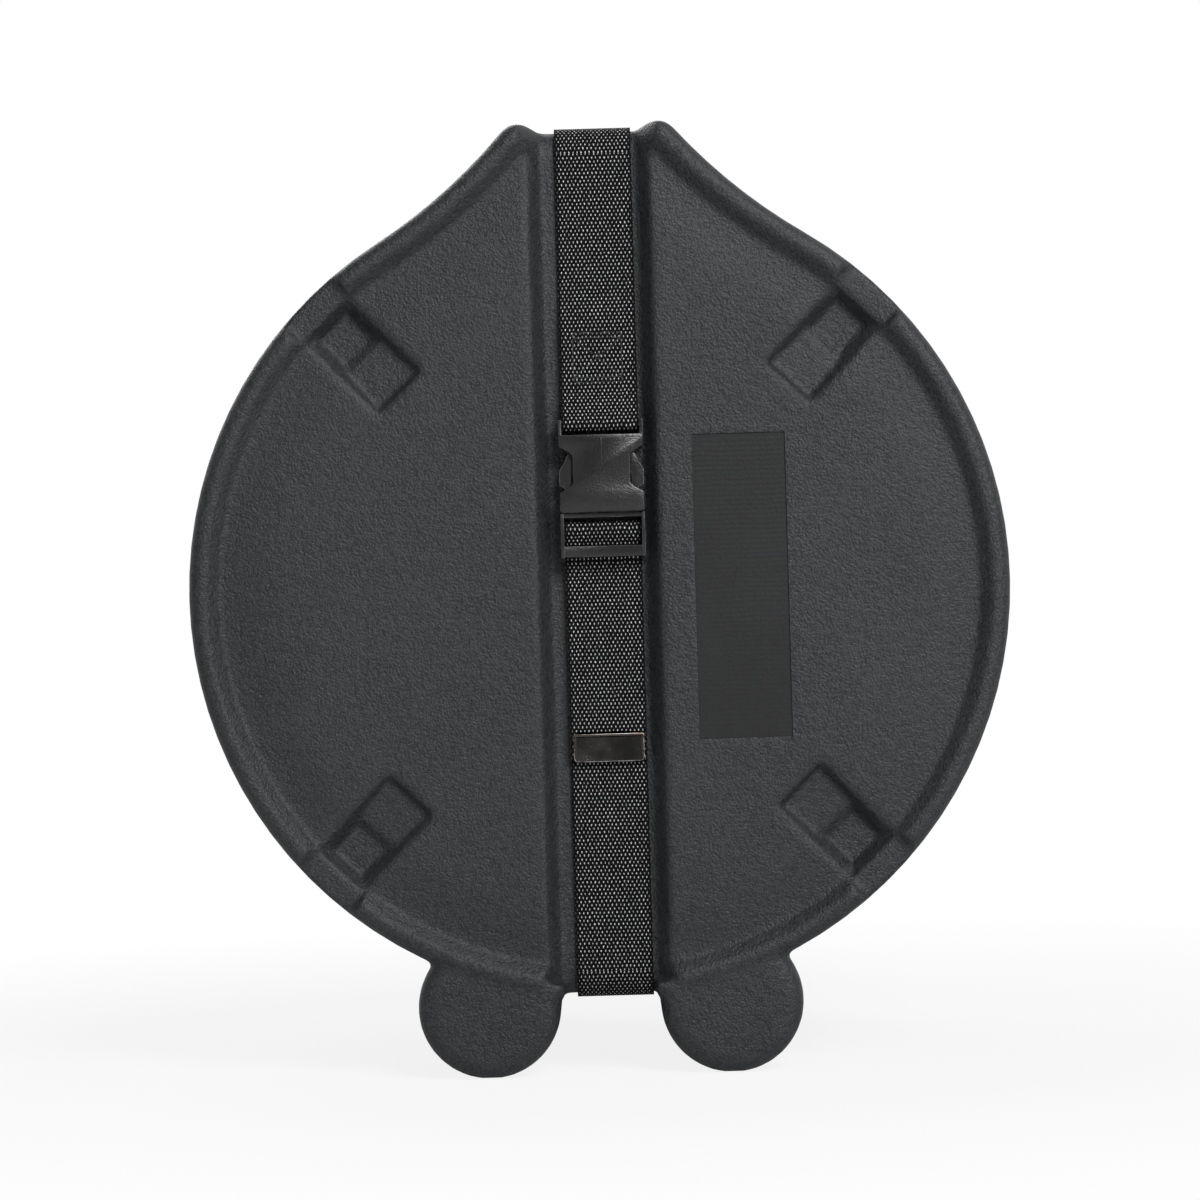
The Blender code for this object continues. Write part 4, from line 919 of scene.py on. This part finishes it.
class TOMCASE_OT_webbing(bpy.types.Operator):
    """Models the woven strap: round the base, round the lid's corners and on the lid's face"""

    bl_idname = "tom_case.webbing"
    bl_label = "Webbing Strap"

    def execute(self, context):
        for lay in (self.base_runs, self.lid_bends, self.upper_end, self.lower_end):
            lay("Nylon Webbing", "black_webbing")
        return {"FINISHED"}

    def base_runs(self, nylon, slot):
        """From the parting through the grip to the back, down it and along underneath."""
        grip_front, grip_back = GRIP[0].y + 5 * MM, GRIP[1].y - 5 * MM
        bend_y = BACK_Y - CORNER
        ramp = webbing("webbing_front_ramp", [(SEAM_Y, TOP_Z), (grip_front, TOP_Z)])
        dress(ramp, nylon)
        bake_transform(ramp)
        path = [(grip_front, TOP_Z), (grip_back, TOP_Z)]
        dress(webbing("webbing_in_grip", path, grip_front - SEAM_Y), nylon, "grip")
        path = [(grip_back, TOP_Z), (bend_y, TOP_Z)]
        ramp = webbing("webbing_back_ramp", path, grip_back - SEAM_Y)
        dress(ramp, nylon)
        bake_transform(ramp)
        path = bend((bend_y, TOP_Z - CORNER), CORNER, 90, 0)
        path += bend((bend_y, BOTTOM_Z + CORNER), CORNER, 0, -90)
        around = webbing("webbing_round_base", [*path, (SEAM_Y, BOTTOM_Z)], bend_y - SEAM_Y)
        dress(around, nylon, "base", ["strap_round_base"])

    def lid_bends(self, nylon, slot):
        """Over and under the lid, from the parting round to its face."""
        bend_y = FACE_Y + CORNER
        path = [(SEAM_Y, TOP_Z), *bend((bend_y, TOP_Z - CORNER), CORNER, 90, 180)]
        over = webbing("webbing_over_lid", path, 0.2 * MM)
        dress(over, nylon, None, ["strap_over_lid"])
        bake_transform(over)
        path = [(SEAM_Y, BOTTOM_Z), *bend((bend_y, BOTTOM_Z + CORNER), CORNER, -90, -180)]
        below = webbing("webbing_under_lid", path, 0.4 * MM)
        dress(below, nylon, None, ["strap_under_lid"])
        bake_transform(below)

    def upper_end(self, nylon, slot):
        """Down the face, round the socket's bar and back up behind itself."""
        path = [(FACE_Y, TOP_Z - CORNER), (FACE_Y, DOUBLE_END)]
        path = softened([*path, (DOUBLE_Y, DOUBLE_HIGH), (DOUBLE_Y, DOUBLE_LOW)])
        path += bend(SOCKET_BAR, SOCKET_BEND, 180, 360, 14)
        path += [(FACE_Y, DOUBLE_LOW), (FACE_Y, DOUBLE_HIGH + 0.6 * MM)]
        run = webbing("webbing_upper_run", path, CORNER, step=2.4 * MM)
        dress(run, nylon, None, ["strap_upper_run"])
        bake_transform(run)

    def lower_end(self, nylon, slot):
        """Up the face, through the plug's adjuster and down as the free tail."""
        low, high = BOTTOM_Z + CORNER, PLUG[0].z
        run = webbing("webbing_lower_run", [(FACE_Y, low), (FACE_Y, high)], CORNER)
        dress(run, nylon, None, ["strap_lower_run"])
        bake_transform(run)
        path = [(FACE_Y, high - 1 * MM), (FACE_Y, high + 2 * MM)]
        path += bend(ADJUSTER_BAR, ADJUSTER_BEND, 0, 180, 14)
        path += [(FLOOR_Y - 6.4 * MM, 262.1 * MM), ADJUSTER_EXIT]
        loop = webbing("webbing_adjuster_loop", path, 0.3, step=1.6 * MM)
        dress(loop, nylon, "buckle_plug")
        path = [ADJUSTER_EXIT, (DOUBLE_Y, TAIL_HIGH), (DOUBLE_Y, TAIL_LOW)]
        path += [(TAIL_END_Y, TAIL_LOW - 15 * MM), (TAIL_END_Y, TIP[0].z + 1.2 * MM)]
        tail = webbing("webbing_tail", softened(path), 0.32)
        dress(tail, nylon, None, ["strap_tail"])
        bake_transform(tail)


# Stitching


class TOMCASE_OT_stitching(bpy.types.Operator):
    """Sews the webbing's doubled end to the socket with a boxed cross"""

    bl_idname = "tom_case.stitching"
    bl_label = "Box Stitching"

    def execute(self, context):
        face = DOUBLE_Y - THICK / 2 + 0.05 * MM
        left, right = STRAP_X - 12.5 * MM, STRAP_X + 11.5 * MM
        low, high = 343.5 * MM, 368 * MM
        in_low, in_high = low + 2.4 * MM, high - 2.4 * MM
        lines = [((left, z), (right, z)) for z in (low, in_low, high, in_high)]
        lines += [((x, low), (x, high)) for x in (left, right)]
        lines += [((left, in_low), (right, in_high)), ((left, in_high), (right, in_low))]
        stitches = []
        for a, b in lines:
            a, b = Vector(a), Vector(b)
            number = max(round((b - a).length / context.scene.tom_case_sizes.stitch_length), 1)
            for i in range(number):
                middle = a.lerp(b, (i + 0.5) / number)
                stitch = fresh(
                    bpy.ops.mesh.primitive_uv_sphere_add,
                    segments=8,
                    ring_count=6,
                    radius=1,
                    location=(middle.x, face, middle.y),
                    rotation=(0, -math.atan2(b.y - a.y, b.x - a.x), 0),
                    scale=((b - a).length / number * 0.46, 0.34 * MM, 0.36 * MM),
                )
                stitches.append(stitch)
        sewn = settle(joined("box_stitching", stitches), "box_stitching")
        smooth(sewn)
        dress(sewn, "Sewing Thread")
        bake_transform(sewn)
        return {"FINISHED"}


# Buckle


def moulded_part(node, name, body):
    """One piece of the buckle with its flat faces whole and its edges rounded."""
    obj = copy_of(node, name)
    edit(obj)
    bpy.ops.mesh.dissolve_limited(angle_limit=math.radians(1))
    leave_edit()
    for label in ("Buckle Acetal", "Rubbed Acetal Edges"):
        obj.data.materials.append(bpy.data.materials[label])
    # The rounded edges take the second material, the acetal with its painted edge highlight
    rounded_edges(obj, bpy.context.scene.tom_case_sizes.buckle_edge, 25, 3, 1)
    smooth(obj, 40)
    dress(obj, "Buckle Acetal", body, [node])


class TOMCASE_OT_buckle(bpy.types.Operator):
    """Models the side-release buckle's socket, plug and two prongs"""

    bl_idname = "tom_case.buckle"
    bl_label = "Side-Release Buckle"

    def execute(self, context):
        moulded_part("buckle_female", "buckle_socket", "strap_end_upper")
        face, half = SOCKET[0].y, 0.35 * MM
        low = (STRAP_X - half, face - 0.12 * MM, 301 * MM)
        seam = block("socket_mould_line", low, (STRAP_X + half, face + 0.4 * MM, 316.6 * MM))
        rounded_edges(seam, 0.12 * MM)
        smooth(seam, 40)
        dress(seam, "Buckle Acetal", "strap_end_upper")
        moulded_part("buckle_male", "buckle_plug_half", "buckle_plug")
        moulded_part("buckle_prong_left", "release_prong_left", "prong_left")
        moulded_part("buckle_prong_right", "release_prong_right", "prong_right")
        return {"FINISHED"}


# Metal tip, grip and rivets


class TOMCASE_OT_tip(bpy.types.Operator):
    """Folds the sheet-metal tip over the end of the strap's tail"""

    bl_idname = "tom_case.tip"
    bl_label = "Strap Tip"

    def execute(self, context):
        low, high = TIP
        tip = block("folded_tip", low, high)
        for end, radius, segments in ((low.z, 2.2 * MM, 5), (high.z, 0.7 * MM, 3)):

            def fold(a, b):
                return abs(a.y - b.y) > 1 * MM and abs(a.z - end) + abs(b.z - end) < 1 * MM

            edit(tip, fold, "edges")
            bpy.ops.mesh.bevel(offset=radius, segments=segments, affect="EDGES")
            leave_edit()
        edit(tip, lambda middle, normal: normal.y < -0.9)
        bpy.ops.mesh.inset(thickness=0.7 * MM)
        bpy.ops.mesh.inset(thickness=0.5 * MM, depth=-0.16 * MM)
        leave_edit()
        for label in ("Dark Nickel", "Worn Nickel Edges"):
            tip.data.materials.append(bpy.data.materials[label])
        rounded_edges(tip, 0.3 * MM, 40, 3, 1)
        smooth(tip, 45)
        dress(tip, "Dark Nickel", "tail", ["strap_tip"])
        return {"FINISHED"}


class TOMCASE_OT_grip(bpy.types.Operator):
    """Models the two halves of the carrying grip, the upper one with its ribs"""

    bl_idname = "tom_case.grip"
    bl_label = "Carrying Grip"

    def execute(self, context):
        number = context.scene.tom_case_sizes.grip_ribs
        upper = copy_of("grip_upper_half", "grip_shell_upper")
        middle, crest = (GRIP[0] + GRIP[1]) / 2, GRIP[1].z - 1.7 * MM
        ribs = []
        for i in range(number):
            y = middle.y + (i - (number - 1) / 2) * 7.2 * MM
            rib = rod(f"rib_{i}", 1.5 * MM, 27 * MM, (middle.x, y, crest), "X", 16)
            rounded_edges(rib, 0.7 * MM, 40)
            ribs.append(rib)
        joined("grip_shell_upper", [upper, *ribs])
        lower = copy_of("grip_lower_half", "grip_shell_lower")
        for grip, node in ((upper, "grip_upper_half"), (lower, "grip_lower_half")):
            modifier(grip, "REMESH", mode="VOXEL", voxel_size=0.75 * MM, adaptivity=0.0)
            modifier(grip, "SMOOTH", factor=0.5, iterations=3)
            smooth(grip)
            dress(grip, "Soft Grip Plastic", "grip", [node])
        return {"FINISHED"}


class TOMCASE_OT_rivets(bpy.types.Operator):
    """Models the strap's two rivets, and finishes their washers"""

    bl_idname = "tom_case.rivets"
    bl_label = "Strap Rivets"

    def execute(self, context):
        for label in ("upper", "lower"):
            node = f"strap_rivet_{label}"
            low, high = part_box(node)
            middle = (low + high) / 2
            shank = rod("shank", 2.4 * MM, high.y - low.y - 1 * MM, middle, "Y", 32)
            seat = (middle.x, high.y - 1.4 * MM, middle.z)
            head = fresh(
                bpy.ops.mesh.primitive_uv_sphere_add,
                segments=48,
                ring_count=24,
                radius=1,
                location=seat,
                rotation=(math.pi / 2, 0, 0),
                scale=(5 * MM, 5 * MM, 1.4 * MM),
            )
            edit(settle(head, "head"))
            bpy.ops.mesh.bisect(plane_co=seat, plane_no=(0, -1, 0), clear_outer=True, use_fill=True)
            leave_edit()
            tail = rod("tail", 4 * MM, 1.1 * MM, (middle.x, low.y + 0.55 * MM, middle.z), "Y")
            rounded_edges(tail, 0.4 * MM, 40, 3)
            rivet = joined(f"domed_rivet_{label}", [shank, head, tail])
            smooth(rivet, 35)
            dress(rivet, "Zinc Plated Steel", "base", [node])
            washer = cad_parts[f"rivet_washer_{label}"].data.materials
            washer.clear()
            washer.append(bpy.data.materials["Zinc Plated Steel"])
        return {"FINISHED"}


# Stage


def seen_rays(tree, mirrored):
    """1 for what the camera sees, also through glass, and the given share for mirrors."""
    path = tree.add("ShaderNodeLightPath").outputs
    seen = tree.maths("MAXIMUM", path["Is Camera Ray"], path["Is Transmission Ray"])
    return tree.maths("MAXIMUM", seen, tree.times(path["Is Glossy Ray"], mirrored))


def lamp(name, place, size, power):
    """A soft rectangular light that faces the case."""
    made = fresh(bpy.ops.object.light_add, type="AREA", location=place)
    made.name = name
    made.data.shape = "RECTANGLE"
    made.data.size, made.data.size_y = size
    made.data.energy = power
    way = Vector((0, -0.1, 0.24)) - Vector(place)
    made.rotation_euler = way.to_track_quat("-Z", "Y").to_euler()


class TOMCASE_OT_stage(bpy.types.Operator):
    """Sets the pale floor, the soft lights, the white surroundings and the camera"""

    bl_idname = "tom_case.stage"
    bl_label = "Stage"

    def execute(self, context):
        self.floor()
        self.surroundings(context.scene)
        lamp("key_softbox", (0.84, -1.96, 1.69), (1.0, 1.0), 54)
        lamp("right_strip", (1.5, -1.7, 0.4), (0.14, 1.1), 5)
        lamp("left_strip", (-1.5, -1.9, 0.35), (0.14, 1.1), 2.5)
        lamp("back_light", (-0.7, 2.2, 1.6), (1.4, 1.4), 34)
        self.camera(context.scene)
        context.scene.view_settings.view_transform = "Standard"
        return {"FINISHED"}

    def floor(self):
        """A floor that keeps the case's shadow and turns white away from it."""
        floor = fresh(bpy.ops.mesh.primitive_plane_add, size=14, location=(0, 0, 0))
        floor.name = "pale_floor"
        floor.location.z = -0.1 * MM
        tree = material("Pale Floor")
        tree.feed(Base_Color=(0.72, 0.72, 0.72, 1.0), Roughness=0.9, Specular_IOR_Level=0.1)
        away = tree.vector("LENGTH", tree.place())["Value"]
        light = tree.add("ShaderNodeEmission", {"Color": (1, 1, 1, 1), "Strength": 1.0})
        seen = tree.times(seen_rays(tree, 0.1), tree.spread(away, 0.3, 0.8, 0.86, 1.0))
        inputs = {0: seen, 1: tree.shader.outputs[0], 2: light.outputs[0]}
        blend = tree.add("ShaderNodeMixShader", inputs)
        tree.put(blend.outputs[0], tree.output.inputs["Surface"])
        floor.data.materials.append(bpy.data.materials["Pale Floor"])

    def surroundings(self, scene):
        """White to the camera, and only a weak light on the case."""
        scene.world = bpy.data.worlds.new("Soft Studio")
        scene.world.use_nodes = True
        tree = Tree(scene.world.node_tree)
        way = tree.parts(tree.add("ShaderNodeTexCoord").outputs["Generated"])
        behind = tree.spread(way["Y"], 0.0, 0.5)
        strength = tree.spread(seen_rays(tree, behind), 0.0, 1.0, 0.12, 1.0)
        sky = tree.add("ShaderNodeBackground", {"Color": (1, 1, 1, 1), "Strength": strength})
        tree.add("ShaderNodeOutputWorld", {"Surface": sky.outputs[0]})

    def camera(self, scene):
        """The photo's view: straight on, from a step away, turned a little."""
        lens = bpy.data.cameras.new("photo_view")
        lens.sensor_width, lens.lens = 36, 121.6
        lens.clip_start, lens.clip_end = 0.05, 60
        camera = bpy.data.objects.new("photo_view", lens)
        scene.collection.objects.link(camera)
        camera.location = (0, -2.168, 0.2354)
        camera.rotation_euler = (math.pi / 2, math.radians(1.6), 0)
        scene.camera = camera


class TOMCASE_PT_panel(bpy.types.Panel):
    """Lists the drum case's pieces, sizes and colours"""

    bl_idname = "TOMCASE_PT_panel"
    bl_label = "Tom Drum Case"
    bl_space_type = "VIEW_3D"
    bl_region_type = "UI"
    bl_category = "Tom Case"

    def draw(self, context):
        for operator in OPERATORS:
            self.layout.operator(operator.bl_idname)
        for group in (context.scene.tom_case_sizes, context.scene.tom_case_colours):
            box = self.layout.box()
            for name in group.__annotations__:
                box.prop(group, name)


EFFECTS = (grain_effect, plate_effect, wear_effect, dust_effect, weave_effect)
PLASTICS = (shell_plastic, buckle_acetal, buckle_edges, grip_plastic)
SOFT_GOODS = (foam_sheet, webbing_nylon, thread_nylon)
METALS = (tip_nickel, tip_edges, rivet_steel)
OPERATORS = (
    TOMCASE_OT_shells,
    TOMCASE_OT_foam,
    TOMCASE_OT_webbing,
    TOMCASE_OT_stitching,
    TOMCASE_OT_buckle,
    TOMCASE_OT_tip,
    TOMCASE_OT_grip,
    TOMCASE_OT_rivets,
    TOMCASE_OT_stage,
)
CLASSES = (TomCaseSizes, TomCaseColours, *OPERATORS, TOMCASE_PT_panel)


def register():
    for kind in CLASSES:
        bpy.utils.register_class(kind)
    bpy.types.Scene.tom_case_sizes = PointerProperty(type=TomCaseSizes)
    bpy.types.Scene.tom_case_colours = PointerProperty(type=TomCaseColours)


def unregister():
    del bpy.types.Scene.tom_case_colours
    del bpy.types.Scene.tom_case_sizes
    for kind in reversed(CLASSES):
        bpy.utils.unregister_class(kind)


def main():
    register()
    for make in EFFECTS:
        make()
    for make in (*PLASTICS, *SOFT_GOODS, *METALS):
        make(bpy.context.scene.tom_case_colours)
    for operator in OPERATORS:
        group, name = operator.bl_idname.split(".")
        getattr(getattr(bpy.ops, group), name)()


if __name__ == "__main__":
    main()
